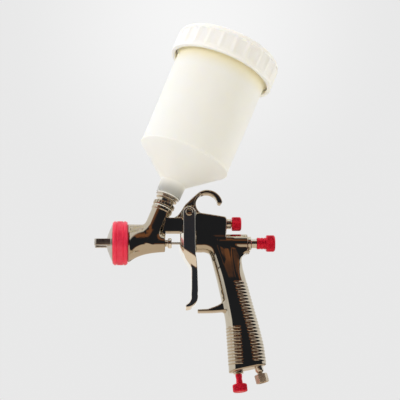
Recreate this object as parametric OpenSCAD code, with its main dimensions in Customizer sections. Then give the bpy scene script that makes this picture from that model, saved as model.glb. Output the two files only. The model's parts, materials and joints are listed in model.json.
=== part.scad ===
// Gravity-feed HVLP spray gun: forged body, trigger with needle and air valve,
// three control knobs, air cap and retaining ring, swivel air inlet, plastic cup with screw lid.
// Side view: the nozzle points along -X, +Z is up, the gun is symmetric about y = 0.
// The modules work from the gun datum, with x = 0 at the trigger pivot and z = 0 on the needle axis.

/* [Head and barrels] */
// From the trigger pivot forward to the front flange of the head
head_reach = 52; // [48:0.5:56]
// Radius of the head at its front flange
head_r = 16.7; // [16.4:0.1:17.4]
// Radius of the head at its rear, by the packing nut
head_rear_r = 7.6; // [7.2:0.1:8.2]
// Length over which the trumpet of the head dies away
flare_len = 11; // [9:0.5:13]
// Radius of the upper barrel, which carries the fan air
upper_r = 7.9; // [7.4:0.1:8.2]
// Height of the upper barrel over the needle axis
upper_z = 16.4; // [16:0.1:17]
// Radius of the lower barrel, which holds the air valve
lower_r = 8.1; // [7.9:0.1:8.6]
// From the trigger pivot back to the end of the lower barrel
lower_reach = 51.5; // [50:0.5:53]

/* [Handle and hook] */
// Half the thickness of the grip
grip_r = 10; // [9.4:0.1:10]
// How far a grip rib stands proud
rib_h = 0.8; // [0.4:0.1:0.8]
// Distance from one grip rib to the next
rib_pitch = 2.9; // [2.6:0.1:3.4]
// Inner radius of the hanging hook
hook_r = 9.4; // [8.8:0.1:9.6]
// Thickness of the hook's band
hook_band = 3.8; // [3.2:0.1:4.2]
// Width of the hook
hook_w = 8; // [6:0.5:9]

/* [Trigger] */
// Height of the trigger pivot over the needle axis
pivot_z = 25; // [24.5:0.1:25.5]
// Radius of the trigger pin
pin_r = 2.5; // [2.2:0.1:2.8]
// Inner width between the trigger's arms
arm_gap = 20.6; // [20.4:0.1:21]
// Thickness of one trigger arm
arm_t = 2.7; // [2.2:0.1:3]
// Width of the finger blade
blade_w = 16; // [14:0.5:18]

/* [Air cap] */
// Outer radius of the retaining ring
ring_r = 19.3; // [18.8:0.1:19.8]
// Length of the retaining ring
ring_len = 13.8; // [13:0.1:14]
// Length of the air cap's horns in front of the ring
horn_len = 15; // [12:0.5:16]
// Height of a horn
horn_h = 5.8; // [5:0.1:7]

/* [Needle and valve] */
// Radius of the fluid needle
needle_r = 1.1; // [0.9:0.05:1.15]
// Radius of the fluid nozzle's opening
nozzle_r = 0.7; // [0.6:0.05:0.8]
// Outer radius of the hollow air valve stem
stem_r = 2.5; // [2.3:0.05:2.5]
// Free play between the valve stem and the needle collar
lost_motion = 1.6; // [1.6:0.1:2]

/* [Knobs] */
// Radius of the fluid knob's head
fluid_knob_r = 7.25; // [6.8:0.05:7.6]
// Radius of the fan knob
fan_knob_r = 6.1; // [5.8:0.05:6.4]
// Radius of the air knob's head
air_knob_r = 6.25; // [5.8:0.05:6.4]
// Number of knurl grooves round a knob
knurls = 24; // [16:1:30]

/* [Air inlet] */
// Tilt of the air inlet from the vertical, in degrees
inlet_tilt = 14; // [12:0.5:15]
// Size across the flats of the swivel nut
nut_af = 9.8; // [9.4:0.1:10.4]
// Length of the swivel nut
nut_len = 7.5; // [7.2:0.1:8]
// Radius of the nut's threaded bore, at the thread's crests
nut_bore_r = 3.45; // [3.3:0.05:3.6]

/* [Cup] */
// Lean of the cup's axis from the vertical, in degrees
cup_lean = 22.4; // [21:0.1:23]
// Outer radius of the cup at its shoulder
cup_r = 40.9; // [40:0.1:41.5]
// Outer radius of the cup just below its rim
cup_rim_r = 42; // [41.6:0.1:42.4]
// Wall of the cup
cup_wall = 1.5; // [1.2:0.1:1.6]
// Outer radius of the lid
lid_r = 48.5; // [48:0.1:49.5]
// Height of the lid
lid_h = 25; // [24:0.5:27]
// Number of grip flutes round the lid
lid_flutes = 24; // [18:1:30]

/* [Hidden] */
$fn = 64;
eps = 0.02;
run_fit = 0.05;
// Front of the head and rear of the lower barrel
head_x = -head_reach;
head_rear_x = -20.9;
lower_x = lower_reach;
body_front_x = 5.5;
upper_rear_x = 33.2;
// Half widths of the block round the barrels, of the neck before it and of the pivot boss
web_hw = lower_r + 0.1;
neck_hw = 5.5;
boss_hw = 10;
boss_r = 6.4;
arm_in = arm_gap / 2;
arm_out = arm_in + arm_t;
// Trigger: round end of its arms, top of its front bow, head of its pin
arm_end_r = 5.3;
yoke_z = 6.8;
pin_head_r = 3.3;
pin_head_t = 1.6;
pin_screw_r = 1.45;
pin_screw_l = 9;
// Head bores, front to rear
nose_x = -61;
nose_r = 15.4;
chamber_r = 12.4;
chamber_x = -55.5;
nozzle_socket_r = 5;
nozzle_socket_x = -44;
fluid_bore_r = 2.6;
packing_socket_r = 3.1;
packing_socket_x = -29;
packing_end_x = -24.6;
// Air cap, nozzle and the seat of the retaining ring
nozzle_tip_x = -71.4;
cap_neck_r = 15.6;
cap_rim_r = 16.9;
cap_rim_x = -65.4;
cap_back_x = -63.2;
cap_seal_t = 1.2;
// Cup axis: it meets the needle axis at cup_x, and distances s run along it from there
cup_x = -36;
inlet_r = 8.8;
inlet_rim_r = 9.5;
inlet_end_s = 34.2;
inlet_thread_r = 6.3;
inlet_socket_s = 20;
fluid_drop_r = 3.6;
// Valve bores in the lower barrel
bush_socket_r = 4.9;
bush_socket_x = 17;
seat_x = 20;
valve_bore_r = 5.6;
// Valve stem and needle collar
stem_front_x = -4.1;
stem_flange_r = 4;
stem_flange_t = 1.5;
poppet_r = 4.8;
stem_rear_x = 31;
bush_end_x = 14;
collar_x = stem_rear_x + lost_motion;
collar_len = 4;
collar_r = 2.6;
needle_tip_x = -70.5;
needle_tail_x = 48;
// Rear plug of the lower barrel and the fluid control
guide_in_x = 44.6;
guide_bore_r = 3.3;
guide_collar_r = 6.1;
guide_collar_x = 54.8;
guide_stem_r = 4.1;
guide_end_x = 60.3;
spindle_front_x = 52.2;
spindle_step_x = 66.4;
spindle_tip_r = 2.6;
spindle_end_x = 73.4;
fluid_hub_x = 59.7;
fluid_hub_r = 5.1;
fluid_head_x = 67.9;
fluid_end_x = 75.6;
// Fan control
fan_z = 17.6;
fan_bush_r = 4.5;
fan_knob_x = 37.9;
fan_end_x = 46.2;
fan_rod_r = 2.5;
fan_tip_x = 10;
fan_socket_r = fan_bush_r - 0.6;
fan_socket_x = 24;
fan_packing_l = 2;
// Air control at the foot of the handle
air_tilt = 5;
air_seat = [41.4, -111.6];
air_bush_r = 4.5;
air_face = 0.85;
air_rod_r = 2;
air_rod_end = 14.4;
air_socket_r = air_bush_r - 0.6;
air_socket_l = 12;
air_way_l = 22;
air_neck_r = 2.9;
air_neck_len = 8.6;
air_head_len = 6.8;
// Air inlet at the foot of the handle
inlet_seat = [59.3, -110];
inlet_mouth_l = 13.1;
nipple_r = 3.75;
nipple_neck_r = 2.4;
nipple_in_l = 8;
nipple_socket_l = 9;
nipple_collar_r = 3.1;
nipple_collar_s = 7;
nipple_end_s = 8;
thread_start_s = 8.6;
duct_r = 2.6;
duct_len = 112;
// Springs: mean radius, wire radius and turns
valve_spring = [4.2, 0.42, 7];
needle_spring_size = [2.5, 0.32, 8];
curl_rings = 12;
wire_sides = 6;
spring_gap = 0.4;
// Cup, measured along its axis
connector_flange_s = 42.4;
connector_collar_r = 7.7;
connector_top_s = 58;
lock_nut_end_s = 39;
neck_s = 46.6;
neck_r = 11.1;
neck_top_s = 59.4;
neck_top_r = 11.6;
neck_bore_r = 9.2;
shoulder_s = 84.8;
lid_s = 173.4;
lid_top_s = lid_s + lid_h;
lid_top_t = 2.8;
lid_bore_r = 45;
seal_t = 1.7;
rim_s = lid_top_s - lid_top_t - seal_t - 0.4;
thread_root_r = cup_rim_r + 0.5;
thread_r = 44.3;
thread_pitch = 4.2;
vent_r = 5;
// Handle: centres of the round front and rear edges, and their radii, from the barrel to the foot
grip_front = [[23.4, -2], [28.6, -16], [33.8, -32], [38, -52], [41.2, -70], [42.3, -90], [43.3, -111.2]];
grip_rear = [[35, -2], [36.6, -16], [39.4, -32], [44.4, -52], [49.2, -70], [53.8, -90], [56, -108.8]];
grip_edge_r = [7, 8.7, grip_r, grip_r, grip_r, grip_r, grip_r];
foot_bevel = 1.2;
edge_steps = 12;
// Frame: the origin is the centre of the swivel nut's mouth
mouth_x = inlet_seat[0] + inlet_mouth_l * sin(inlet_tilt);
mouth_z = inlet_seat[1] - inlet_mouth_l * cos(inlet_tilt);

// Helpers

// Points of an arc in the side view
function arc(c, r, from, to, steps) =
    [for (i = [0:steps]) c + r * [cos(from + (to - from) * i / steps), sin(from + (to - from) * i / steps)]];

// Moves the gun datum into the part's frame
module placed() { translate([-mouth_x, 0, -mouth_z]) children(); }

// A solid turned about the X axis from points [radius, x], at height z
module turned(profile, z = 0) { translate([0, 0, z]) rotate([0, 90, 0]) rotate_extrude() polygon(profile); }

// A plain tube along X
module tube_x(x0, x1, r_out, r_in, z = 0) { turned([[r_in, x0], [r_out, x0], [r_out, x1], [r_in, x1]], z); }

// A plain rod along X
module rod_x(x0, x1, r, z = 0) { translate([x0, 0, z]) rotate([0, 90, 0]) cylinder(h = x1 - x0, r = r); }

// A plate from a side-view outline
module plate(w) { rotate([90, 0, 0]) translate([0, 0, -w / 2]) linear_extrude(w) children(); }

// A round bar between two points of the side view
module bar(p, q, r) {
    d = q - p;
    translate([p[0], 0, p[1]])
        rotate([0, atan2(d[0], d[1]), 0])
            cylinder(h = norm(d), r = r);
}

// Children stand on the cup's axis, with s as their height
module on_cup() { translate([cup_x, 0, 0]) rotate([0, cup_lean, 0]) children(); }

// A solid turned about the cup's axis from points [radius, s]
module cup_turned(profile) { on_cup() rotate_extrude() polygon(profile); }

// Children hang below the handle's foot, with their depth as height
module on_foot(seat, tilt) { translate([seat[0], 0, seat[1]]) rotate([0, 180 - tilt, 0]) children(); }

// Ring of points on a helix wire: angle a along the coil, axial step per degree
function wire_ring(size, x0, rise, a) =
    [for (k = [0:wire_sides - 1])
        let (t = 360 * k / wire_sides, r = size[0] + size[1] * cos(t))
        [x0 + rise * a + size[1] * sin(t), r * cos(a), r * sin(a)]];

// A coil spring along X between x0 and x1, one unbroken tube
module coil(size, x0, x1) {
    turns = size[2];
    n = turns * curl_rings;
    rise = (x1 - x0 - 2 * size[1]) / (360 * turns);
    gap = 360 * rise - 2 * size[1];
    assert(gap > spring_gap, "the coils of a spring are too close");
    echo(spring_gap_mm = gap);
    rings = [for (i = [0:n]) wire_ring(size, x0 + size[1], rise, 360 * turns * i / n)];
    side = [for (i = [0:n - 1], k = [0:wire_sides - 1])
        let (a = i * wire_sides + k, b = i * wire_sides + (k + 1) % wire_sides)
        each [[a, b, a + wire_sides], [b, b + wire_sides, a + wire_sides]]];
    last = n * wire_sides;
    caps = [for (k = [1:wire_sides - 2]) each [[0, k + 1, k], [last, last + k, last + k + 1]]];
    polyhedron([for (r = rings) each r], concat(side, caps));
}

// Grip: ring of points round the handle at station i, with round front and rear edges
function grip_ring(i, shrink = 0, drop = 0) =
    let (f = grip_front[i], b = grip_rear[i], r = grip_edge_r[i] - shrink)
    let (d = (f - b) / norm(f - b))
    let (down = drop * [-d[1], d[0]])
    concat(
        [for (k = [0:edge_steps])
            let (a = -90 + 180 * k / edge_steps, p = f + down + r * cos(a) * d)
            [p[0], r * sin(a), p[1]]],
        [for (k = [0:edge_steps])
            let (a = 90 - 180 * k / edge_steps, p = b + down - r * cos(a) * d)
            [p[0], r * sin(a), p[1]]]);

// The handle's grip, lofted through its rings down to the bevelled foot
module grip() {
    last = len(grip_front) - 1;
    rings = concat(
        [for (i = [0:last]) grip_ring(i)],
        [grip_ring(last, foot_bevel, foot_bevel)]);
    m = len(rings[0]);
    side = [for (i = [0:len(rings) - 2], k = [0:m - 1])
        let (a = i * m + k, b = i * m + (k + 1) % m)
        each [[a, a + m, b], [b, a + m, b + m]]];
    top = [[for (k = [0:m - 1]) k]];
    foot = [[for (k = [m - 1:-1:0]) (len(rings) - 1) * m + k]];
    polyhedron([for (r = rings) each r], concat(side, top, foot));
}

// Ribs along one edge of the grip between two of its stations
module grip_ribs(edge, i, from, to) {
    d = edge[i + 1] - edge[i];
    u = d / norm(d);
    for (l = [from:rib_pitch:to])
        bar(edge[i] + u * l, edge[i] + u * (l + rib_pitch / 2), grip_r + rib_h);
}

// Knurled grip round X: grooves cut along a knob's rim
module knurl_cuts(x0, x1, r, z) {
    groove_r = 0.5;
    for (k = [0:knurls - 1])
        translate([0, 0, z])
            rotate([360 * k / knurls, 0, 0])
                rod_x(x0, x1, groove_r, r + groove_r / 2);
}

// Body

module head() {
    steps = 14;
    len_flare = head_rear_x - head_x;
    turned(concat(
        [[0, nose_x], [nose_r - 0.8, nose_x], [nose_r, nose_x + 0.8], [nose_r, head_x - 1.5],
            [head_r, head_x - 1.5]],
        [for (i = [0:steps])
            let (l = len_flare * i / steps, w = exp(-l / flare_len))
            [head_rear_r - 0.4 + (head_r - head_rear_r + 0.4) * w, head_x + l]],
        [[0, head_rear_x]]));
}

// The air way along the top of the head, and the rear end of the upper barrel
module head_ridge() {
    bar([head_x + 0.5, 9], [-34, 11.5], upper_r - 0.3);
    turned([[0, body_front_x], [upper_r, body_front_x], [upper_r, upper_rear_x - 1.2],
        [upper_r - 1.2, upper_rear_x], [0, upper_rear_x]], upper_z);
}

// Flat neck from the head and the cup inlet back to the pivot
module neck() {
    top_z = 22.1;
    low_z = 9.3;
    plate(2 * neck_hw)
        polygon([[-34, 4], [head_rear_x, 5], [head_rear_x + 0.6, low_z], [body_front_x + 1, low_z],
            [body_front_x + 1, top_z], [-27, top_z]]);
}

module cup_inlet() {
    root_s = 2;
    cup_turned([[0, root_s], [inlet_r - 3, root_s], [inlet_r, root_s + 10], [inlet_r, inlet_end_s - 3.4],
        [inlet_rim_r, inlet_end_s - 2.8], [inlet_rim_r, inlet_end_s - 0.5],
        [inlet_rim_r - 0.5, inlet_end_s], [0, inlet_end_s]]);
}

// Flat-sided block over both barrels, with the line that falls from the hook to the fan control
module web() {
    front_x = -4;
    rear_x = 33;
    plate(2 * web_hw)
        polygon([[front_x, upper_z], [front_x, 24.6], [10, 26], [31.4, 22.6], [rear_x, 20.8], [rear_x, upper_z],
            [32, 2], [30, -6], [body_front_x + 1, -6], [body_front_x, -4], [body_front_x, 9]]);
}

// Hanging hook on a gusset: the band thickens towards its round tip
module hook() {
    inner_c = [15.8, 35];
    outer_c = inner_c + [0.8, -0.4];
    outer_r = hook_r + hook_band + 0.3;
    tip = 16;
    outer_tip = tip - 4;
    p = inner_c + hook_r * [cos(tip), sin(tip)];
    q = outer_c + outer_r * [cos(outer_tip), sin(outer_tip)];
    plate(hook_w)
        polygon(concat(
            [[-17, 21], [-16.5, 22], [-13, 22.6], [-9.7, 24.5], [-7.1, 28], [-3.1, 34.4], [3, 40.4]],
            arc(outer_c, outer_r, 126, outer_tip, 16),
            arc((p + q) / 2, norm(q - p) / 2, -15, -165, 6),
            arc(inner_c, hook_r, tip, 235, 22),
            [[10, 24]]));
}

module lower_barrel() {
    edge = 1.2;
    rear_w = 13;
    turned([[0, body_front_x], [lower_r - edge, body_front_x], [lower_r, body_front_x + edge],
        [lower_r, lower_x - edge], [lower_r - edge, lower_x], [0, lower_x]]);
    // Round corner over the fingers, and the web of the hand behind
    plate(2 * web_hw)
        polygon(concat([[body_front_x + 1, -5]], arc([12.5, -16], 8.4, 110, 20, 8), [[30, -20], [30, -5]]));
    plate(rear_w)
        polygon(concat([[36, -5], [38, -22], [45, -22]], arc([54.4, -18], 9.6, 190, 95, 8), [[50, -5]]));
}

// Finger spur on the front of the handle
module spur() {
    tip = [8, -60.6];
    w = 9;
    plate(w)
        polygon(concat(
            [[40, -48]],
            [[31, -52.2], [24, -56], [16, -59]],
            arc(tip, 1.2, 80, 280, 6),
            [[20, -61.6], [30, -60.8], [40, -60.4]]));
}

module gun_body() {
    color("#2a2c33") placed() difference() {
        union() {
            head();
            head_ridge();
            cup_inlet();
            neck();
            web();
            hook();
            translate([0, 0, pivot_z]) rotate([90, 0, 0]) cylinder(h = 2 * boss_hw, r = boss_r, center = true);
            lower_barrel();
            grip();
            grip_ribs(grip_front, 4, 4, 18);
            grip_ribs(grip_front, 5, 1, 18);
            grip_ribs(grip_rear, 2, 2, 18);
            grip_ribs(grip_rear, 3, 1, 17);
            grip_ribs(grip_rear, 4, 1, 19);
            grip_ribs(grip_rear, 5, 1, 15);
            spur();
        }
        // Head: air chamber, nozzle socket, fluid way, packing socket
        rod_x(nose_x - 1, chamber_x, chamber_r);
        rod_x(chamber_x - 1, nozzle_socket_x, nozzle_socket_r);
        rod_x(nozzle_socket_x - 1, packing_socket_x + 1, fluid_bore_r);
        rod_x(packing_socket_x, head_rear_x + 1, packing_socket_r);
        // Cup inlet: thread socket and the fluid's drop to the needle
        on_cup() translate([0, 0, inlet_socket_s]) cylinder(h = inlet_end_s, r = inlet_thread_r);
        on_cup() cylinder(h = inlet_socket_s + 1, r = fluid_drop_r);
        // Air valve
        rod_x(body_front_x - 1, bush_socket_x, bush_socket_r);
        rod_x(bush_socket_x - 1, seat_x + 1, stem_r + 0.6);
        rod_x(seat_x, lower_x + 1, valve_bore_r);
        // Fan valve
        rod_x(fan_tip_x - 2, upper_rear_x + 1, fan_rod_r + 0.5, fan_z);
        rod_x(fan_socket_x, upper_rear_x + 1, fan_socket_r, fan_z);
        // Trigger pin
        translate([0, 0, pivot_z]) rotate([90, 0, 0]) cylinder(h = 3 * boss_hw, r = pin_r + eps, center = true);
        // Air control and air inlet with the duct up the handle to the valve
        on_foot(air_seat, air_tilt) {
            translate([0, 0, -air_socket_l]) cylinder(h = 2 * air_socket_l, r = air_socket_r);
            translate([0, 0, -air_way_l]) cylinder(h = air_way_l, r = air_rod_r + 0.6);
            translate([0, 0, air_face]) cylinder(h = air_socket_l, r = air_bush_r + 0.1);
        }
        on_foot(inlet_seat, inlet_tilt) {
            translate([0, 0, -nipple_socket_l]) cylinder(h = 2 * nipple_socket_l, r = nipple_r);
            translate([0, 0, -duct_len]) cylinder(h = duct_len, r = duct_r);
        }
    }
}

// Air cap and nozzle

// Perforated ring that spreads the air behind the cap
module air_baffle() {
    holes = 12;
    hole_r = 1;
    front_x = chamber_x - 2.1;
    color("#c9c3ae") placed() difference() {
        tube_x(front_x, chamber_x - eps, chamber_r - 0.1, nozzle_socket_r + 0.2);
        for (k = [0:holes - 1])
            rotate([360 * k / holes, 0, 0])
                rod_x(front_x - 1, chamber_x + 1, hole_r, (chamber_r + nozzle_socket_r) / 2);
    }
}

module fluid_nozzle() {
    hex_af = 12;
    hex_x = nose_x - 1.6;
    hex_len = 4;
    shoulder_r = 5.4;
    shoulder_x = nozzle_tip_x + 7.9;
    thread_r = nozzle_socket_r - run_fit;
    thread_x = nozzle_socket_x - run_fit;
    color("#d8d6cf") placed() difference() {
        union() {
            turned([[0, nozzle_tip_x], [1.8, nozzle_tip_x], [2.2, nozzle_tip_x + 1.9],
                [3.4, nozzle_tip_x + 5.4], [shoulder_r, shoulder_x], [shoulder_r, shoulder_x + 5.5],
                [thread_r, shoulder_x + 5.7], [thread_r, thread_x], [0, thread_x]]);
            translate([hex_x, 0, 0]) rotate([0, 90, 0]) cylinder(h = hex_len, r = hex_af / sqrt(3), $fn = 6);
        }
        turned([[0, nozzle_tip_x - 1], [nozzle_r, nozzle_tip_x - 1], [nozzle_r, nozzle_tip_x + 1.8],
            [fluid_bore_r, hex_x + 0.6], [fluid_bore_r, thread_x + 1], [0, thread_x + 1]]);
    }
}

// One horn of the air cap, in plan from the base to the tip
module horn() {
    tip_x = head_x - ring_len - 1 - horn_len + 0.4;
    intersection() {
        translate([0, 0, -horn_h / 2])
            linear_extrude(horn_h)
                polygon([[-64, 4.4], [-70, 4.6], [-72.5, 6.4], [tip_x + 1, 9.2], [tip_x, 10],
                    [tip_x, 12], [tip_x + 1.5, 13.2], [-64, 13.8]]);
        turned([[0, tip_x], [12.4, tip_x], [13.4, tip_x + 2], [14, -63], [0, -63]]);
    }
}

module air_cap() {
    turn = 8;
    jet_r = 0.7;
    jet_slant = 25;
    aux_r = 0.5;
    room_r = 8.6;
    room_x = -66;
    gap_r = 2.7;
    color("#b9a888") placed() rotate([turn, 0, 0]) difference() {
        union() {
            turned([[0, nozzle_tip_x], [5.6, nozzle_tip_x], [7.4, nozzle_tip_x + 0.6],
                [12, nozzle_tip_x + 2.4], [cap_neck_r, nozzle_tip_x + 4.2], [cap_neck_r, cap_rim_x - 0.2],
                [cap_rim_r, cap_rim_x], [cap_rim_r, cap_back_x], [0, cap_back_x]]);
            horn();
            mirror([0, 1, 0]) horn();
        }
        // Room for the nozzle and its hex, and the annular atomising gap
        rod_x(room_x, cap_back_x + 1, room_r);
        turned([[0, nozzle_tip_x - 1], [gap_r, nozzle_tip_x - 1], [gap_r, nozzle_tip_x + 1.9],
            [gap_r + 1.5, room_x + 0.2], [0, room_x + 0.2]]);
        // Slanted jets in the horns and small jets round the centre
        for (side = [-1, 1])
            translate([nozzle_tip_x - 7.1, side * 9, 0]) rotate([side * 90, 0, 0]) rotate([0, -jet_slant, 0])
                translate([0, 0, -3]) cylinder(h = 4.5, r = jet_r);
        for (side = [-1, 1])
            rod_x(nozzle_tip_x - 1, room_x + 1, aux_r, side * (gap_r + 2.1));
    }
}

// Spring ring that holds the air cap inside the retaining ring
module cap_seal() {
    color("#e8e6dc") placed() tube_x(cap_back_x + 0.1, cap_back_x + 0.1 + cap_seal_t, cap_rim_r - 0.3, 13.2);
}

module retaining_ring() {
    front = head_x - 1 - ring_len;
    rear = head_x - 1 - 0.6;
    lip_r = cap_neck_r + 0.3;
    seat_end_x = cap_back_x + cap_seal_t + 0.2;
    flutes = 18;
    flute_r = 1.6;
    color("#b3202c") placed() difference() {
        turned([[lip_r, front], [ring_r - 1.3, front], [ring_r, front + 1.6], [ring_r, rear - 1.4],
            [ring_r - 1.1, rear], [nose_r + 0.25, rear], [nose_r + 0.25, seat_end_x],
            [cap_rim_r + 0.2, seat_end_x], [cap_rim_r + 0.2, cap_rim_x - 0.3], [lip_r, cap_rim_x - 0.3]]);
        for (k = [0:flutes - 1])
            rotate([360 * (k + 0.5) / flutes, 0, 0])
                rod_x(front + 3.2, rear - 3, flute_r, ring_r + flute_r - 0.45);
    }
}

// Needle, packing and trigger

module fluid_needle() {
    tip_r = nozzle_r - 0.15;
    color("#e4e2da") placed()
        turned([[0, needle_tip_x - 0.6], [tip_r * 0.5, needle_tip_x - 0.4], [tip_r, needle_tip_x + 1],
            [needle_r, -64], [needle_r, needle_tail_x - 0.5], [needle_r - 0.4, needle_tail_x],
            [0, needle_tail_x]]);
}

module needle_collar() {
    color("#c8a75a") placed() tube_x(collar_x, collar_x + collar_len, collar_r, needle_r + eps);
}

module needle_packing() {
    color("#f2f0e6") placed()
        tube_x(packing_socket_x + 0.1, packing_end_x, packing_socket_r - run_fit, needle_r + 0.03);
}

module packing_nut() {
    nut_r = 4.5;
    edge = 0.4;
    front_x = head_rear_x + 2.5;
    rear_x = front_x + 3.2;
    slot = 1.2;
    color("#d9d4c0") placed() difference() {
        union() {
            rod_x(packing_end_x + 0.1, front_x + 0.2, packing_socket_r - run_fit);
            turned([[0, front_x], [nut_r - edge, front_x], [nut_r, front_x + edge], [nut_r, rear_x - edge],
                [nut_r - edge, rear_x], [0, rear_x]]);
        }
        rod_x(packing_end_x - 1, rear_x + 1, needle_r + 0.25);
        // Screwdriver slot across the rear face
        translate([rear_x - 1, -nut_r - 1, -slot / 2]) cube([slot, 2 * nut_r + 2, slot]);
    }
}

module needle_spring() {
    color("#b9bcc0") placed() coil(needle_spring_size, collar_x + collar_len + 0.1, spindle_front_x - 0.1);
}

// Side outline of the trigger: arms, front bow, finger blade and hooked tip
module trigger_side() {
    polygon(concat(
        arc([0, pivot_z], arm_end_r, 180, 0, 14),
        [[5.3, 16], [5.2, 0], [5.4, -12], [6.6, -20]],
        [[7.1, -26], [7.4, -43]],
        arc([-2.8, -48.6], 10.1, 10, -70, 8),
        [[-1.6, -58.6]],
        arc([-2.2, -57.2], 1.4, 270, 120, 4),
        arc([-6.6, -49.2], 7.9, -38, 12, 5),
        [[1.5, -42], [1.7, -28]],
        arc([-8, -26], 9.8, 10, 38, 3),
        [[-3.6, -15]],
        arc([4.6, -3], 12.8, 222, 172, 6),
        [[-8, yoke_z - 0.6], [-7.4, yoke_z], [-arm_end_r, yoke_z]]));
}

// Front outline of the trigger: arms, shoulders and the narrower blade
module trigger_front() {
    hw = blade_w / 2;
    half = [[arm_out, pivot_z + 8], [arm_out, -8], [arm_out - 0.6, -12], [hw + 1.2, -20], [hw, -25],
        [hw - 0.6, -52], [hw - 3, -60]];
    polygon(concat(half, [for (k = [len(half) - 1:-1:0]) [-half[k][0], half[k][1]]]));
}

module trigger() {
    plate_in_x = -5.2;
    well_z = -17;
    pad_r = 1;
    pad_y = 4;
    slot_w = 3.4;
    slot_h = 5.2;
    color("#4a4c50") placed() difference() {
        union() {
            intersection() {
                plate(3 * arm_out) trigger_side();
                difference() {
                    translate([-40, 0, 0]) rotate([90, 0, 90]) linear_extrude(80) trigger_front();
                    translate([plate_in_x, -arm_in, well_z]) cube([40, arm_gap, 80]);
                    translate([-40, -arm_in, yoke_z]) cube([80, arm_gap, 40]);
                }
            }
            // Pads that push the valve stem, one each side of the needle
            for (side = [-1, 1])
                translate([plate_in_x, side * pad_y, 0])
                    rotate([90, 0, 0])
                        cylinder(h = pad_y, r = pad_r, center = true);
        }
        // Slot for the needle in the front bow
        translate([-20, -slot_w / 2, -slot_h / 2]) cube([20, slot_w, slot_h]);
        translate([0, 0, pivot_z]) rotate([90, 0, 0])
            cylinder(h = 3 * arm_out, r = pin_r + run_fit, center = true);
    }
}

module pin_head() {
    edge = 0.6;
    rotate_extrude()
        polygon([[0, 0], [pin_head_r, 0], [pin_head_r, pin_head_t - edge], [pin_head_r - edge, pin_head_t],
            [0, pin_head_t]]);
}

// Pin with a hexagon socket in its head, and a thread for the screw in its far end
module trigger_pin() {
    socket_r = 1.9;
    y0 = arm_out + 0.15;
    color("#c9c2ae") placed() translate([0, 0, pivot_z]) rotate([90, 0, 0]) difference() {
        union() {
            translate([0, 0, -y0]) cylinder(h = 2 * y0, r = pin_r);
            translate([0, 0, y0 - eps]) pin_head();
        }
        translate([0, 0, y0 + 0.4]) cylinder(h = pin_head_t, r = socket_r, $fn = 6);
        translate([0, 0, -y0 - 1]) cylinder(h = pin_screw_l + 3, r = pin_screw_r + run_fit);
    }
}

// Slotted screw in the far end of the pin
module trigger_pin_screw() {
    slot = 1;
    y0 = arm_out + 0.17;
    color("#b8b2a0") placed() translate([0, 0, pivot_z]) rotate([-90, 0, 0]) difference() {
        union() {
            translate([0, 0, y0 - pin_screw_l]) cylinder(h = pin_screw_l + eps, r = pin_screw_r);
            translate([0, 0, y0]) pin_head();
        }
        translate([-pin_head_r - 1, -slot / 2, y0 + pin_head_t / 2])
            cube([2 * pin_head_r + 2, slot, pin_head_t]);
    }
}

// Air valve

module valve_bush() {
    color("#d9d4c0") placed() difference() {
        union() {
            rod_x(body_front_x - 0.1, bush_end_x, bush_socket_r - run_fit);
            rod_x(body_front_x - 1.4, body_front_x - 0.05, bush_socket_r + 1.2);
        }
        rod_x(0, bush_socket_x, stem_r + run_fit);
    }
}

module valve_packing() {
    color("#f2f0e6") placed()
        tube_x(bush_end_x + 0.1, bush_socket_x - 0.1, bush_socket_r - run_fit, stem_r + 0.03);
}

module valve_seat() {
    color("#c8a75a") placed() tube_x(seat_x + eps, seat_x + 2, valve_bore_r - run_fit, stem_r + 0.8);
}

// Hollow stem round the needle: the trigger pushes its flange, and the poppet opens the air
module valve_stem() {
    poppet_x = seat_x + 3.4;
    tail_r = 2.9;
    color("#d8d6cf") placed()
        turned([[needle_r + 0.25, stem_front_x], [stem_flange_r - 0.5, stem_front_x],
            [stem_flange_r, stem_front_x + 0.5], [stem_flange_r, stem_front_x + stem_flange_t],
            [stem_r, stem_front_x + stem_flange_t], [stem_r, poppet_x], [poppet_r, poppet_x],
            [poppet_r, poppet_x + 2.6], [tail_r, poppet_x + 3], [tail_r, stem_rear_x],
            [needle_r + 0.25, stem_rear_x]]);
}

module poppet_seal() {
    color("#2b2b2b") placed() tube_x(seat_x + 2.1, seat_x + 3.35, poppet_r - 0.2, stem_r + eps);
}

module valve_spring() {
    color("#b9bcc0") placed() coil(valve_spring, seat_x + 6.2, guide_in_x - 0.1);
}

// Fluid control

module fluid_guide() {
    thread_r = valve_bore_r - run_fit;
    color("#d9d4c0") placed()
        turned([[guide_bore_r, guide_in_x], [thread_r, guide_in_x], [thread_r, lower_x + eps],
            [guide_collar_r - 0.4, lower_x + eps], [guide_collar_r, lower_x + 0.4],
            [guide_collar_r, guide_collar_x - 0.6], [guide_collar_r - 0.6, guide_collar_x],
            [guide_stem_r, guide_collar_x], [guide_stem_r, guide_end_x], [guide_bore_r, guide_end_x]]);
}

// Screw that stops the needle: its blind well takes the needle's tail
module fluid_spindle() {
    well_r = 1.4;
    well_x = 60;
    color("#c8a75a") placed()
        turned([[well_r, spindle_front_x], [guide_bore_r - run_fit, spindle_front_x],
            [guide_bore_r - run_fit, spindle_step_x], [spindle_tip_r, spindle_step_x + 0.4],
            [spindle_tip_r, spindle_end_x], [0, spindle_end_x], [0, well_x], [well_r, well_x]]);
}

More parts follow.
